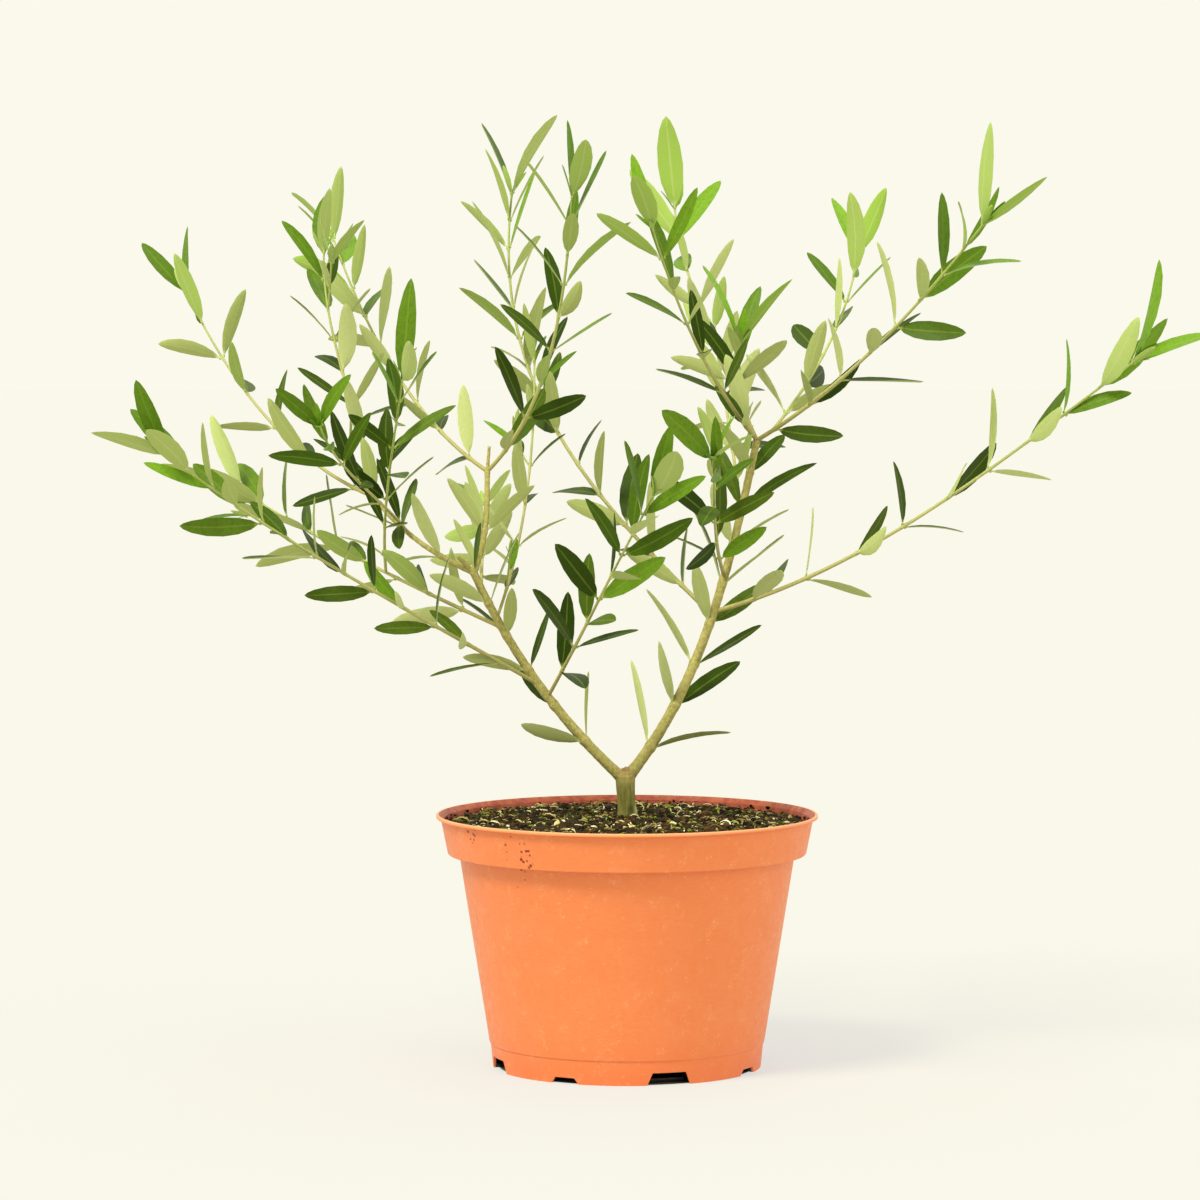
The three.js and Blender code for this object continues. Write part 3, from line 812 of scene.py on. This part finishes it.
SHOOTS = [
    dict(name="foliage_left_lowest", parent="bough_left", at=0.5, tip=(-229, -110, 323),
         rise=(148, 140), girth=(1.2, 0.6), pairs=13, bare=26, leaf=34, tip_leaf=42, roll=0),
    dict(name="foliage_left_low", parent="bough_left", at=0.76, tip=(-206, 50, 300),
         rise=(157, 149), girth=(1.2, 0.6), pairs=9, bare=24, leaf=36, tip_leaf=52, roll=0,
         twigs=[dict(at=0.43, tip=(-113, -90, 360), rise=(92, 80), girth=(0.9, 0.5), pairs=8,
         bare=14, leaf=34, tip_leaf=44, roll=70)]),
    dict(name="foliage_left_outer", parent="limb_left", at=1, tip=(-240, 110, 406),
         rise=(160, 118), girth=(1.1, 0.5), pairs=7, bare=14, leaf=36, tip_leaf=42, roll=0),
    dict(name="foliage_left_inner", parent="limb_left", at=1, tip=(-162, 60, 426), rise=(100, 90),
         girth=(1.1, 0.5), pairs=8, bare=10, leaf=36, tip_leaf=42, roll=70),
    dict(name="foliage_left_back", parent="bough_left_upper", at=1, tip=(-161, 130, 435),
         rise=(148, 112), girth=(1.2, 0.5), pairs=9, bare=16, leaf=37, tip_leaf=46, roll=20),
    dict(name="foliage_left_front", parent="limb_left", at=0.6, tip=(-152, -125, 338),
         rise=(120, 100), girth=(1.0, 0.5), pairs=6, bare=14, leaf=34, tip_leaf=38, roll=4),
    dict(name="foliage_middle_front", parent="bough_left_upper", at=1, tip=(-28, -60, 453),
         rise=(45, 86), girth=(1.2, 0.6), pairs=9, bare=16, leaf=40, tip_leaf=42, roll=80),
    dict(name="foliage_middle_tall", parent="bough_right", at=0.51, tip=(-63, 120, 460),
         rise=(137, 84), sweep=1.2, girth=(1.3, 0.6), pairs=14, bare=24, leaf=40, tip_leaf=50,
         roll=50),
    dict(name="foliage_middle_slender", parent="bough_left", at=0.8, tip=(-50, 70, 384),
         rise=(70, 92), girth=(0.9, 0.5), pairs=8, bare=18, leaf=30, tip_leaf=30, roll=10),
    dict(name="foliage_middle_low", parent="bough_left", at=0.44, tip=(13, -120, 303),
         rise=(62, 62), girth=(1.1, 0.5), pairs=9, bare=22, leaf=39, tip_leaf=42, roll=62),
    dict(name="foliage_middle_back", parent="bough_left", at=0.93, tip=(-80, 185, 288),
         rise=(98, 96), girth=(1.1, 0.5), pairs=6, bare=30, leaf=32, tip_leaf=36, roll=20),
    dict(name="foliage_right_front", parent="bough_right", at=1, tip=(13, -80, 436),
         rise=(130, 107), girth=(1.2, 0.5), pairs=7, bare=12, leaf=34, tip_leaf=46, roll=92),
    dict(name="foliage_right_inner", parent="bough_right", at=1, tip=(26, 110, 451),
         rise=(114, 96), girth=(1.2, 0.5), pairs=7, bare=14, leaf=34, tip_leaf=48, roll=90,
         twigs=[dict(at=0.17, tip=(59, 10, 378), rise=(88, 88), girth=(0.8, 0.5), pairs=3,
         bare=12, leaf=40, tip_leaf=46, roll=20)]),
    dict(name="foliage_right_outer", parent="bough_right", at=1, tip=(178, -90, 438),
         rise=(32, 54), girth=(1.3, 0.6), pairs=9, bare=14, leaf=38, tip_leaf=46, roll=20,
         twigs=[dict(at=0.06, tip=(125, 100, 427), rise=(49, 80), girth=(1.0, 0.5), pairs=7,
         bare=16, leaf=38, tip_leaf=44, roll=30)]),
    dict(name="foliage_far_right", parent="bough_right", at=0.52, tip=(258, -50, 369),
         rise=(16, 38), girth=(1.3, 0.6), pairs=10, bare=22, leaf=35, tip_leaf=54, roll=0),
    dict(name="foliage_right_back", parent="bough_right", at=0.8, tip=(48, 170, 386),
         rise=(95, 98), girth=(1.1, 0.5), pairs=7, bare=30, leaf=36, tip_leaf=38, roll=50),
    dict(name="foliage_right_low", parent="bough_right", at=0.62, tip=(42, -150, 322),
         rise=(110, 96), girth=(1.1, 0.5), pairs=7, bare=28, leaf=36, tip_leaf=38, roll=10),
]

# %% Curves
def unit(v):
    return v / np.linalg.norm(v)


class Curve:
    """A cubic curve through four handles, read by its share of length."""

    PIECES = 200

    def __init__(self, *handles):
        self.handles = [np.array(h, float) for h in handles]
        self.times = np.linspace(0, 1, self.PIECES + 1)
        walk = np.array([self.at(t) for t in self.times])
        steps = np.linalg.norm(np.diff(walk, axis=0), axis=1)
        self.walked = np.concatenate([[0], np.cumsum(steps)])
        self.length = self.walked[-1]

    def at(self, t):
        a, b, c, d = self.handles
        s = 1 - t
        return s ** 3 * a + 3 * s * s * t * b + 3 * s * t * t * c + t ** 3 * d

    def time(self, share):
        return float(np.interp(share * self.length, self.walked, self.times))

    def point(self, share):
        return self.at(self.time(share))

    def along(self, share):
        t, near = self.time(share), 1e-4
        return unit(self.at(min(1, t + near)) - self.at(max(0, t - near)))


def limb_curve(start, tip, rise, sweep=1):
    start, tip = np.array(start, float), np.array(tip, float)
    chord = np.linalg.norm(tip - start)
    depth = (tip[1] - start[1]) / chord
    flat = math.sqrt(1 - depth * depth)
    leaves, ends = (np.array([flat * math.cos(math.radians(r)), depth,
                              flat * math.sin(math.radians(r))]) for r in rise)
    reach = chord * sweep / 3
    return Curve(start, start + leaves * reach, tip - ends * reach, tip)


# %% Leaves by rule
def turned(v, axis, angle):
    """v turned about a unit axis by an angle in radians."""
    return (v * math.cos(angle) + np.cross(axis, v) * math.sin(angle)
            + axis * (axis @ v) * (1 - math.cos(angle)))


def grow_leaves(stem, seed):
    """The leaves and the short side twigs of one stem."""
    draw = seeded(seed)
    curve, pairs, leaf = stem["curve"], stem["pairs"], stem["leaf"]
    tip_leaf = stem.get("tip_leaf", leaf)
    start = stem["bare"] / curve.length
    leaves, twigs = [], []
    for i in range(pairs):
        u = i / (pairs - 1) if pairs > 1 else 1
        share = min(1, start + (1 - start) * u * (1.2 - 0.2 * u))
        steep = 0 if stem.get("leader") else u ** 3
        node, along = curve.point(share), curve.along(share)
        front, side = square_to(along)
        turn = around(draw, stem["roll"] + 90 * (pairs - 1 - i), PAIR_STRAY)
        for half in (0, 180):
            angle = math.radians(around(draw, turn + half, LEAF["stray"]))
            usual = between((LEAF["spread"], LEAF["tip_spread"]), steep)
            spread = math.radians(around(draw, usual, LEAF["stray"]))
            usual = between((leaf, tip_leaf), steep)
            size = around(draw, usual, LEAF["size_stray"] * usual)
            slim = around(draw, LEAF["slimness"], LEAF["slimness_stray"])
            twist = math.radians(around(draw, 0, TWIST))
            bend = around(draw, LEAF["bend"], LEAF["bend"])
            is_twig = draw() < stem.get("twiggy", TWIGGY) and u < 0.8
            outward = side * math.cos(angle) + front * math.sin(angle)
            axis = unit(along * math.cos(spread) + outward * math.sin(spread) + LIFT)
            face = along * math.sin(spread) - outward * math.cos(spread) + LIGHT
            face = turned(unit(face - axis * (face @ axis)), axis, twist)
            if is_twig:
                twigs.append(side_twig(node, axis, size, leaf))
            else:
                sunk = between(stem["girth"], share) * (1 - LEAF["root_depth"])
                leaves.append(dict(root=node + outward * sunk, axis=axis, face=face, length=size,
                                   width=size * slim, bend=bend, share=share, node=node,
                                   outward=outward))
    return leaves, twigs


def side_twig(foot, axis, length, leaf):
    """A short twig in the place of a leaf. It turns upwards."""
    reach = length * 0.62
    up = unit(axis + np.array([0, 0, 0.35]))
    middle = foot + axis * reach / 2
    curve = Curve(foot, foot + axis * reach / 3, middle + up * reach / 6, middle + up * reach / 2)
    return dict(curve=curve, pairs=2, bare=reach * 0.5, leaf=leaf * 0.72, roll=0, twiggy=0,
                girth=(0.6, 0.45))


# %% Grow every limb
limbs = {}
for order, spec in enumerate(BOUGHS + SHOOTS):
    parent = limbs.get(spec.get("parent"))
    start = parent["curve"].point(spec["at"]) if parent else FORK
    curve = limb_curve(start, spec["tip"], spec["rise"], spec.get("sweep", 1))
    limb = {**spec, "curve": curve, "leader": order < len(BOUGHS)}
    seed = 100 * (order + 1)
    leaves, twigs = grow_leaves(limb, seed)
    for twig in spec.get("twigs", []):
        path = limb_curve(curve.point(twig["at"]), twig["tip"], twig["rise"])
        twigs.insert(0, {**twig, "curve": path})
    for i, twig in enumerate(twigs):
        twig["leaves"], _ = grow_leaves(twig, seed + 1 + i)
    limb.update(own_leaves=leaves, twigs=twigs, parent_limb=parent)
    limbs[spec["name"]] = limb
print(len(limbs), "limbs,", sum(len(limb["twigs"]) for limb in limbs.values()), "side twigs")

# %% [markdown]
# ## Leaves that keep clear
#
# Two shoots that cross must not share a leaf's space. Each leaf is first drawn as the plain CAD
# blade, a little too large, and tested against the wood of every other limb and the leaves of
# the limbs before it. A search tree over the triangles makes that quick. A leaf that touches is
# left out, here as in the solids.

# %% Plain blades and the clash test
def plain_blade(leaf, extra):
    """The CAD leaf: three thin sections and a tip, `extra` larger all round."""
    across = np.cross(leaf["axis"], leaf["face"])
    thick = max(leaf["length"] * LEAF["thickness"], 0.5)
    sections = [(0, LEAF["root_width"], LEAF["root_thick"]),
                (LEAF["widest"], leaf["width"], thick),
                (LEAF["shoulder"], leaf["width"] * LEAF["shoulder_width"], thick)]
    points = []
    for share, width, height in sections:
        centre = blade_centre(leaf, share)
        low = leaf["face"] * -extra / 2
        points += [centre + across * (width / 2 + extra) + low,
                   centre - across * (width / 2 + extra) + low,
                   centre + leaf["face"] * (height + extra / 2)]
    points.append(blade_centre(leaf, 1) - leaf["face"] * extra / 2)
    faces = [(0, 2, 1)]
    for a in (0, 3):
        for i in range(3):
            j = (i + 1) % 3
            faces += [(a + i, a + j, a + 3 + j), (a + i, a + 3 + j, a + 3 + i)]
    faces += [(6, 7, 9), (7, 8, 9), (8, 6, 9)]
    return np.array(points), faces


def blade_centre(leaf, share):
    fall = leaf["length"] * leaf["bend"] * share * share
    return leaf["root"] + leaf["axis"] * leaf["length"] * share - leaf["face"] * fall


class Shape:
    """Triangles with a box round them, for quick clash tests."""

    def __init__(self, points, faces):
        self.low, self.high = points.min(axis=0), points.max(axis=0)
        self.tree = BVHTree.FromPolygons(points.tolist(), faces)

    def meets(self, other):
        apart = (self.low > other.high) | (other.low > self.high)
        return not apart.any() and bool(self.tree.overlap(other.tree))


def wood_shapes(limb):
    """Plain tubes along a limb and its twigs, without the foot that is cut away at its parent."""
    parent = limb["parent_limb"]
    stems = [(limb, 8 if limb["leader"] else 3, (max(parent["girth"]) if parent else 4) + GAP)]
    stems += [(twig, 3, 0) for twig in limb["twigs"]]
    for stem, sides, hidden in stems:
        shares = np.linspace(hidden / stem["curve"].length, 1, 9)
        centres = [stem["curve"].point(s) for s in shares]
        yield Shape(*tube(centres, [between(stem["girth"], s) for s in shares], sides))


wood = {name: list(wood_shapes(limb)) for name, limb in limbs.items()}
taken, left_out = [], 0
for name, limb in limbs.items():
    others = [shape for other, shapes in wood.items() if other != name for shape in shapes]
    fresh = []
    for stem in [limb, *limb["twigs"]]:
        kept = []
        for leaf in stem["own_leaves"] if stem is limb else stem["leaves"]:
            roomy = Shape(*plain_blade(leaf, GAP))
            if any(roomy.meets(shape) for shape in others + taken):
                left_out += 1
            else:
                kept.append(leaf)
                fresh.append(Shape(*plain_blade(leaf, 0)))
        stem["leaves"] = kept
    taken += fresh
print(len(taken), "leaves kept,", left_out, "left out")

# %% [markdown]
# ## Trunk and boughs
#
# Young olive bark is thin and smooth, olive-green low down and straw-coloured above, with small
# raised pores, fine ridges along the limb, and a ring at each place where leaves stood. The limbs
# start as thick curves, which is how a branch is drawn by hand: a path with a radius at each
# point. As one mesh they still pass through each other, so a fine voxel remesh fuses them into one
# skin with soft forks. Noise then moves each point along its normal. The leader in the middle has
# been pruned, and the fibres of its stump stand up between the boughs.

# %% Limbs as thick curves
TRUNK = dict(top=152.5, foot=5.2, middle=4.4, upper=5.2, flare=7)
TRUNK_FOOT = SOIL["centre"] + GAP
STUMP_TOP = (-0.4, 0.4, 156.5)
# Foot, tip and both radii of a low ridge on the trunk, the stump, and its broken fibres.
RODS = [((4.2, -1, TRUNK_FOOT), (2.2, -0.6, TRUNK_FOOT + 13), (1.7, 0.8)),
        ((-1, 0, 147), STUMP_TOP, (1.9, 1.4)),
        ((-2.4, -0.8, 150), (-2.2, -1.0, 156.6), (1.0, 0.5)),
        ((0.9, -1.0, 150), (1.1, -1.3, 157.6), (1.1, 0.55)),
        ((-0.8, 0.6, 150), (-0.6, 0.8, 157.2), (1.2, 0.7))]
STUB_TAPER = 0.85
VOXEL = 0.36


def thick_curve(paths):
    """One mesh from several paths. A path is a list of a point and a radius."""
    data = bpy.data.curves.new("wood", "CURVE")
    data.dimensions = "3D"
    data.bevel_depth = MM
    data.bevel_resolution = 6
    data.use_fill_caps = True
    for path in paths:
        spline = data.splines.new("POLY")
        spline.points.add(len(path) - 1)
        for point, (place, radius) in zip(spline.points, path):
            point.co = (*(np.asarray(place) * MM), 1)
            point.radius = radius
    made = bpy.data.objects.new("wood", data)
    scene.collection.objects.link(made)
    pick(made)
    bpy.ops.object.convert(target="MESH")
    return bpy.context.object


def trunk_path():
    height = TRUNK["top"] - TRUNK_FOOT
    for share in np.linspace(0, 1, 24):
        flare = max(0, 1 - share * height / TRUNK["flare"]) ** 2
        radius = between((TRUNK["middle"], TRUNK["upper"]), share)
        radius += (TRUNK["foot"] - TRUNK["middle"]) * flare
        yield np.array([FORK[0] * share, 0, TRUNK_FOOT + height * share]), radius


def bough_path(limb):
    """The limb swells a little at each pair of leaves, and into its fork."""
    curve = limb["curve"]
    knots = {round(leaf["share"] * curve.length, 3) for leaf in limb["own_leaves"]}
    for share in np.linspace(0, 1, 90):
        walked = share * curve.length
        swell = sum(math.exp(-((walked - knot) / 1.6) ** 2) for knot in knots)
        fork = 0.3 * math.exp(-walked / 6)
        yield curve.point(share), between(limb["girth"], share) * (1 + 0.16 * swell + fork)


leaders = [limb for limb in limbs.values() if limb["leader"]]
paths = [list(trunk_path())] + [list(bough_path(limb)) for limb in leaders]
stubs = [(limb["curve"].point(1), *limb["stub"]) for limb in leaders if "stub" in limb]
rods = RODS + [(foot, tip, (girth, girth * STUB_TAPER)) for foot, tip, girth in stubs]
paths += [[(foot, thick), (tip, thin)] for foot, tip, (thick, thin) in rods]
bark = thick_curve(paths)
apply(bark, "REMESH", mode="VOXEL", voxel_size=VOXEL * MM)
apply(bark, "SMOOTH", factor=0.5, iterations=3)
print("bark skin has", len(bark.data.vertices), "points")


# %% Bark relief and finish
def bark_height(place):
    """Fine ridges along the limb, and small raised pores."""
    ridges = noise.noise(Vector((place.x / 0.9, place.y / 0.9, place.z / 5)))
    lumps = noise.noise(place / 3.2)
    pores = max(0, noise.noise(place / 1.1 + Vector((9, 4, 2))) - 0.35)
    return 0.10 * ridges + 0.12 * lumps + 0.30 * pores


# All the normals are read before any point moves, because a moved point makes Blender work
# them all out again.
skin, normals = (np.empty(len(bark.data.vertices) * 3) for _ in range(2))
bark.data.vertices.foreach_get("co", skin)
bark.data.vertices.foreach_get("normal", normals)
skin, normals = skin.reshape(-1, 3), normals.reshape(-1, 3)
lifts = np.array([bark_height(Vector(place)) for place in skin / MM]) * MM
skin += normals * lifts[:, None]
skin[:, 2] = np.maximum(skin[:, 2], TRUNK_FOOT * MM)
bark.data.vertices.foreach_set("co", skin.ravel())
bark.data.update()


# Low on the trunk, a painted highlight makes the crest of the ridge pale, and painted shade makes
# a dark groove beside it.
RIDGE_HIGHLIGHT = [((5.6, -2.2, TRUNK_FOOT), 4), ((5.6, -2.2, TRUNK_FOOT + 4), 3.5)]
GROOVE_SHADE = [((2.4, -4.4, TRUNK_FOOT), 4), ((2.4, -4.4, TRUNK_FOOT + 4), 4)]
KNOT = (-0.6, -3.6, 154.5)


def bark_finish():
    f = Finish("young_olive_bark")
    height = f.height()
    along = f.stretched(1, 1, 0.14)
    green = f.blend(f.cloud(700, 3, 0.6, along).step(0.35, 0.7), linear(106, 104, 42),
                    linear(136, 131, 62))
    straw = f.blend(f.cloud(520, 4, 0.6).step(0.3, 0.7), linear(152, 143, 74),
                    linear(182, 173, 98))
    tint = f.blend((height + f.cloud(250, 2) * 10).step(149, 160), green, straw)
    streak = f.cloud(1500, 3, 0.6, along).step(0.54, 0.68)
    tint = f.blend(streak * 0.4, tint, linear(100, 84, 36))
    # Painted highlight on the ridge's crest, and painted shade in the groove beside it.
    tint = f.blend(f.near(RIDGE_HIGHLIGHT) * 0.8, tint, linear(186, 188, 120))
    tint = f.blend(f.near(GROOVE_SHADE) * 0.8, tint, linear(52, 54, 16))
    pore = f.cells(900).step(0.2, 0.1) * f.cloud(300, 1).step(0.5, 0.6)
    tint = f.blend(pore * 0.25, tint, linear(206, 194, 136))
    stump = f.nearness(STUMP_TOP, 4.5).step(0.1, 0.6)
    knot = f.nearness(KNOT, 7).step(0, 0.6) * f.cloud(900, 3, 0.6, along).step(0.35, 0.6)
    tint = f.blend((stump + knot * 0.7).step(0, 1) * 0.8, tint, linear(152, 112, 70))
    return f.done(Base_Color=tint, Roughness=0.62, Specular_IOR_Level=0.2,
                  Normal=f.bump(f.cloud(2600, 3, 0.6, along) + pore * 0.5, 0.35, 0.2))


WOOD_NODES = ["trunk"] + [spec["name"] for spec in BOUGHS]
settle(bark, "trunk_and_boughs", [bark_finish()], WOOD_NODES)
smooth(bark, 80)

# %% [markdown]
# ## Green shoots
#
# A shoot is woody and brown-olive where it leaves its bough and soft yellow-green at its tip. All
# the shoots and twigs are one mesh of round tubes, with a slight knee at each pair of leaves. Each
# point carries its age, 0 at the foot and 1 at the tip, and the finish reads its colour from that.

# %% Shoots
SHOOT_NODES = [spec["name"] for spec in SHOOTS]
SHOOT_SIDES = 8
SHOOT_STEP = 2.2
BARE_GIRTH = 0.92  # between its knees a shoot is this much of its girth


def add_shoot(heap, stem, ages):
    """One tube from foot to tip, which carries its age at each point."""
    curve = stem["curve"]
    count = max(4, int(curve.length / SHOOT_STEP))
    knots = {round(leaf["share"] * curve.length, 3) for leaf in stem["leaves"]}
    shares = np.linspace(0, 1, count)
    centres, radii = [], []
    for share in shares:
        swell = sum(math.exp(-((share * curve.length - knot) / 1.3) ** 2) for knot in knots)
        centres.append(curve.point(share))
        radii.append(between(stem["girth"], share) * BARE_GIRTH * (1 + 0.3 * swell))
    points, faces = tube(centres, radii, SHOOT_SIDES)
    heap.add(points, faces, age=np.repeat(between(ages, shares), SHOOT_SIDES))


def shoot_finish():
    f = Finish("green_shoot")
    age = f.own("age")
    tint = f.blend(age.step(0.0, 0.4), linear(168, 160, 92), linear(178, 176, 106))
    tint = f.blend(age.step(0.4, 1.0), tint, linear(166, 180, 90))
    tint = f.blend(f.cloud(700, 3).step(0.45, 0.75) * 0.3, tint, linear(126, 120, 54))
    return f.done(Base_Color=tint, Roughness=0.6, Specular_IOR_Level=0.2,
                  Normal=f.bump(f.cloud(2200, 3), 0.2, 0.2))


shoots = Heap("age")
for name in SHOOT_NODES:
    add_shoot(shoots, limbs[name], (0, 1))
    for twig in limbs[name]["twigs"]:
        add_shoot(shoots, twig, (0.6, 1))
for limb in leaders:
    for twig in limb["twigs"]:
        add_shoot(shoots, twig, (0.4, 0.9))
green_shoot = shoot_finish()
shoots.piece("green_shoots", [green_shoot], "foliage", SHOOT_NODES, angle=60)

# %% [markdown]
# ## Leaves
#
# An olive leaf is a slim lance on a short stalk, leathery and dark above, felted and silvery
# below. Its midrib lies in a shallow channel, and its margins are turned up a little. Each leaf
# is a closed thin shell of a few dozen faces: eight sections of six points, then a tip. The upper
# four faces of a section take the dark finish and the lower two the pale one. Colours are dealt
# out by spray and by age: the newest pairs at a shoot's tip are bright yellow-green.

# %% Leaf shell
STATIONS = [0, 0.05, 0.14, 0.3, 0.48, 0.68, 0.86, 0.955]
WIDTHS = [0.085, 0.075, 0.46, 0.78, 0.89, 0.82, 0.56, 0.28]
ACROSS = [-1, -0.5, 0, 0.5, 1]
RING = len(ACROSS) + 1  # the points of a section: five above, and the rib below
CHANNEL = 0.16  # how high the margins stand, over half the width
RIB = 0.035
STALK = 0.22  # the thickness that even the narrowest section has
UPPER, LOWER = 0, 1


def fine_leaf(leaf, sway, roll):
    """Points, faces, finish slots, and each point's place across and along the blade."""
    points, across_notes, along_notes = [], [], []
    for share, wide in zip(STATIONS, WIDTHS):
        face = turned(leaf["face"], leaf["axis"], roll * share)
        across = np.cross(leaf["axis"], face)
        centre = blade_centre(leaf, share) + across * leaf["length"] * sway * share * (1 - share)
        half = leaf["width"] * wide / 2
        for x in ACROSS:
            lift = CHANNEL * half * (abs(x) - 0.25 * x * x)
            points.append(centre + across * half * x + face * lift)
        points.append(centre - face * (RIB * leaf["width"] + STALK))
        across_notes += [*ACROSS, 0]
        along_notes += [share] * RING
    points.append(blade_centre(leaf, 1))
    across_notes.append(0)
    along_notes.append(1)
    faces, slots = [tuple(reversed(range(RING)))], [LOWER]
    tip = len(points) - 1
    for ring in range(len(STATIONS)):
        for i in range(RING):
            a, b = ring * RING + i, ring * RING + (i + 1) % RING
            last = ring == len(STATIONS) - 1
            faces.append((a, b, tip) if last else (a, b, b + RING, a + RING))
            slots.append(UPPER if i < len(ACROSS) - 1 else LOWER)
    return np.array(points), faces, slots, np.array(across_notes), np.array(along_notes)


# %% Leaf finishes
def blade_finish(name, dark, middle, bright, rib, vein, rough, gloss):
    """`tone` runs from dark to middle, and `young` takes it on to bright."""
    f = Finish(name)
    dark, middle, bright, rib = (linear(*colour) for colour in (dark, middle, bright, rib))
    tint = f.blend(f.own("tone"), dark, middle)
    tint = f.blend(f.own("young"), tint, bright)
    tint = f.blend(f.cloud(500, 3).step(0.4, 0.75) * 0.22, tint, dark)
    midrib = f.own("across").size().step(0.14, 0.02)
    tint = f.blend(midrib * vein, tint, rib)
    stalk = f.own("along").step(0.12, 0.05)
    tint = f.blend(stalk * 0.8, tint, rib)
    return f.done(Base_Color=tint, Roughness=rough, Specular_IOR_Level=gloss,
                  Normal=f.bump(f.cloud(1300, 3), 0.15, 0.15))


leaf_upper = blade_finish("leaf_upper", (29, 48, 1), (80, 102, 24), (128, 174, 40),
                          (142, 158, 62), 0.25, 0.45, 0.06)
leaf_lower = blade_finish("leaf_lower", (166, 177, 100), (200, 209, 136), (146, 180, 66),
                          (202, 208, 142), 0.3, 0.7, 0.06)

# %% Spray colours and the leaves themselves
# How young a spray's tip looks, from 0 to 1, and how light its other leaves are.
SPRAYS = {
    "foliage_right_inner": (0.95, 0.2), "foliage_right_outer": (0.9, 0.15),
    "foliage_far_right": (0.8, 0.3), "foliage_right_front": (0.9, 0.15),
    "foliage_middle_front": (0.6, 0.1), "foliage_middle_tall": (0.3, 0.1),
    "foliage_left_back": (0.6, 0.1), "foliage_left_inner": (0.5, 0.1),
    "foliage_left_outer": (0.3, 0.1), "foliage_left_lowest": (0.4, 0.2),
    "foliage_left_low": (0.3, 0.1),
}
USUAL_SPRAY = (0.5, 0.1)
BOUGH_SPRAY = (0.15, 0.15)
ODD_BRIGHT = 0.07  # the share of leaves that are half bright wherever they stand
SWAY = 0.16  # how far a leaf bows to one side, over its length
CURL = 26  # how far its tip is twisted, in degrees


def add_leaf(heap, leaf, draw, spray, place):
    """`place` is the leaf's place on its shoot, 1 at the tip."""
    fresh, light = spray
    young = fresh * clamp((place - 0.55) / 0.4) * around(draw, 0.85, 0.25)
    young += 0.5 * (draw() < ODD_BRIGHT)
    tone = clamp(light + 0.8 * draw() ** 2)
    points, faces, slots, across, along = fine_leaf(
        leaf, around(draw, 0, SWAY), math.radians(around(draw, 0, CURL)))
    heap.add(points, faces, slots, tone=tone, young=clamp(young), across=across, along=along)


draw = seeded(4001)
bough_leaves, shoot_leaves = (Heap("tone", "young", "across", "along") for _ in range(2))
for name, limb in limbs.items():
    spray = BOUGH_SPRAY if limb["leader"] else SPRAYS.get(name, USUAL_SPRAY)
    heap = bough_leaves if limb["leader"] else shoot_leaves
    for stem in [limb, *limb["twigs"]]:
        for leaf in stem["leaves"]:
            add_leaf(heap, leaf, draw, spray, leaf["share"])

# %% Small leaves and buds
BUD_LENGTH = 2.4


def tip_cluster(heap, stem, draw, spray):
    """The newest leaves of a shoot: two small pairs, nearly closed."""
    curve = stem["curve"]
    node, along = curve.point(1), curve.along(1)
    front, side = square_to(along)
    for pair, size in enumerate((0.46, 0.26)):
        for half in (0, math.pi):
            angle = math.radians(stem["roll"]) + half + math.pi / 2 * (pair + 1)
            outward = side * math.cos(angle) + front * math.sin(angle)
            spread = math.radians(around(draw, 20, 8))
            axis = unit(along * math.cos(spread) + outward * math.sin(spread))
            face = unit(along * math.sin(spread) - outward * math.cos(spread))
            length = around(draw, size * stem["leaf"], 2)
            leaf = dict(root=node - along * 0.4, axis=axis, face=face, length=length,
                        width=length * 0.24, bend=0.04)
            add_leaf(heap, leaf, draw, (max(0.75, spray[0]), spray[1]), 1)


def add_bud(heap, leaf):
    """A small pointed bud in the angle between a leaf and its shoot."""
    shape, faces = bud_shape
    up = unit(leaf["axis"] - leaf["outward"] * 0.5)
    side = unit(np.cross(up, leaf["outward"]))
    back = np.cross(side, up)
    turn = np.stack([side, back, up], axis=1)
    size = np.array([0.55, 0.55, BUD_LENGTH / 2])
    heap.add((shape * size) @ turn.T + leaf["node"] + leaf["outward"] * 0.8
             + leaf["axis"] * BUD_LENGTH * 0.4, faces, age=1.0)


bud_shape = crumb_shape()
buds = Heap("age")
for name, limb in limbs.items():
    spray = SPRAYS.get(name, USUAL_SPRAY)
    for stem in [limb, *limb["twigs"]]:
        if not stem.get("leader"):
            tip_cluster(shoot_leaves, stem, draw, spray)
        for leaf in stem["leaves"]:
            add_bud(buds, leaf)
LEAF_FINISHES = [leaf_upper, leaf_lower]
shoot_leaves.piece("shoot_leaves", LEAF_FINISHES, "foliage", SHOOT_NODES)
bough_leaves.piece("bough_leaves", LEAF_FINISHES, "foliage", WOOD_NODES[1:])
buds.piece("leaf_buds", [green_shoot], "foliage", SHOOT_NODES)

# %% [markdown]
#
# The box of what shows is compared with the CAD box.

# %% Finish
visual_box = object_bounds()
proud = [max(c - v, w - d) / MM for c, v, d, w in zip(cad_box[0], visual_box[0], cad_box[1],
                                                     visual_box[1])]
print("stands proud of the CAD box by", [round(v, 1) for v in proud], "mm")
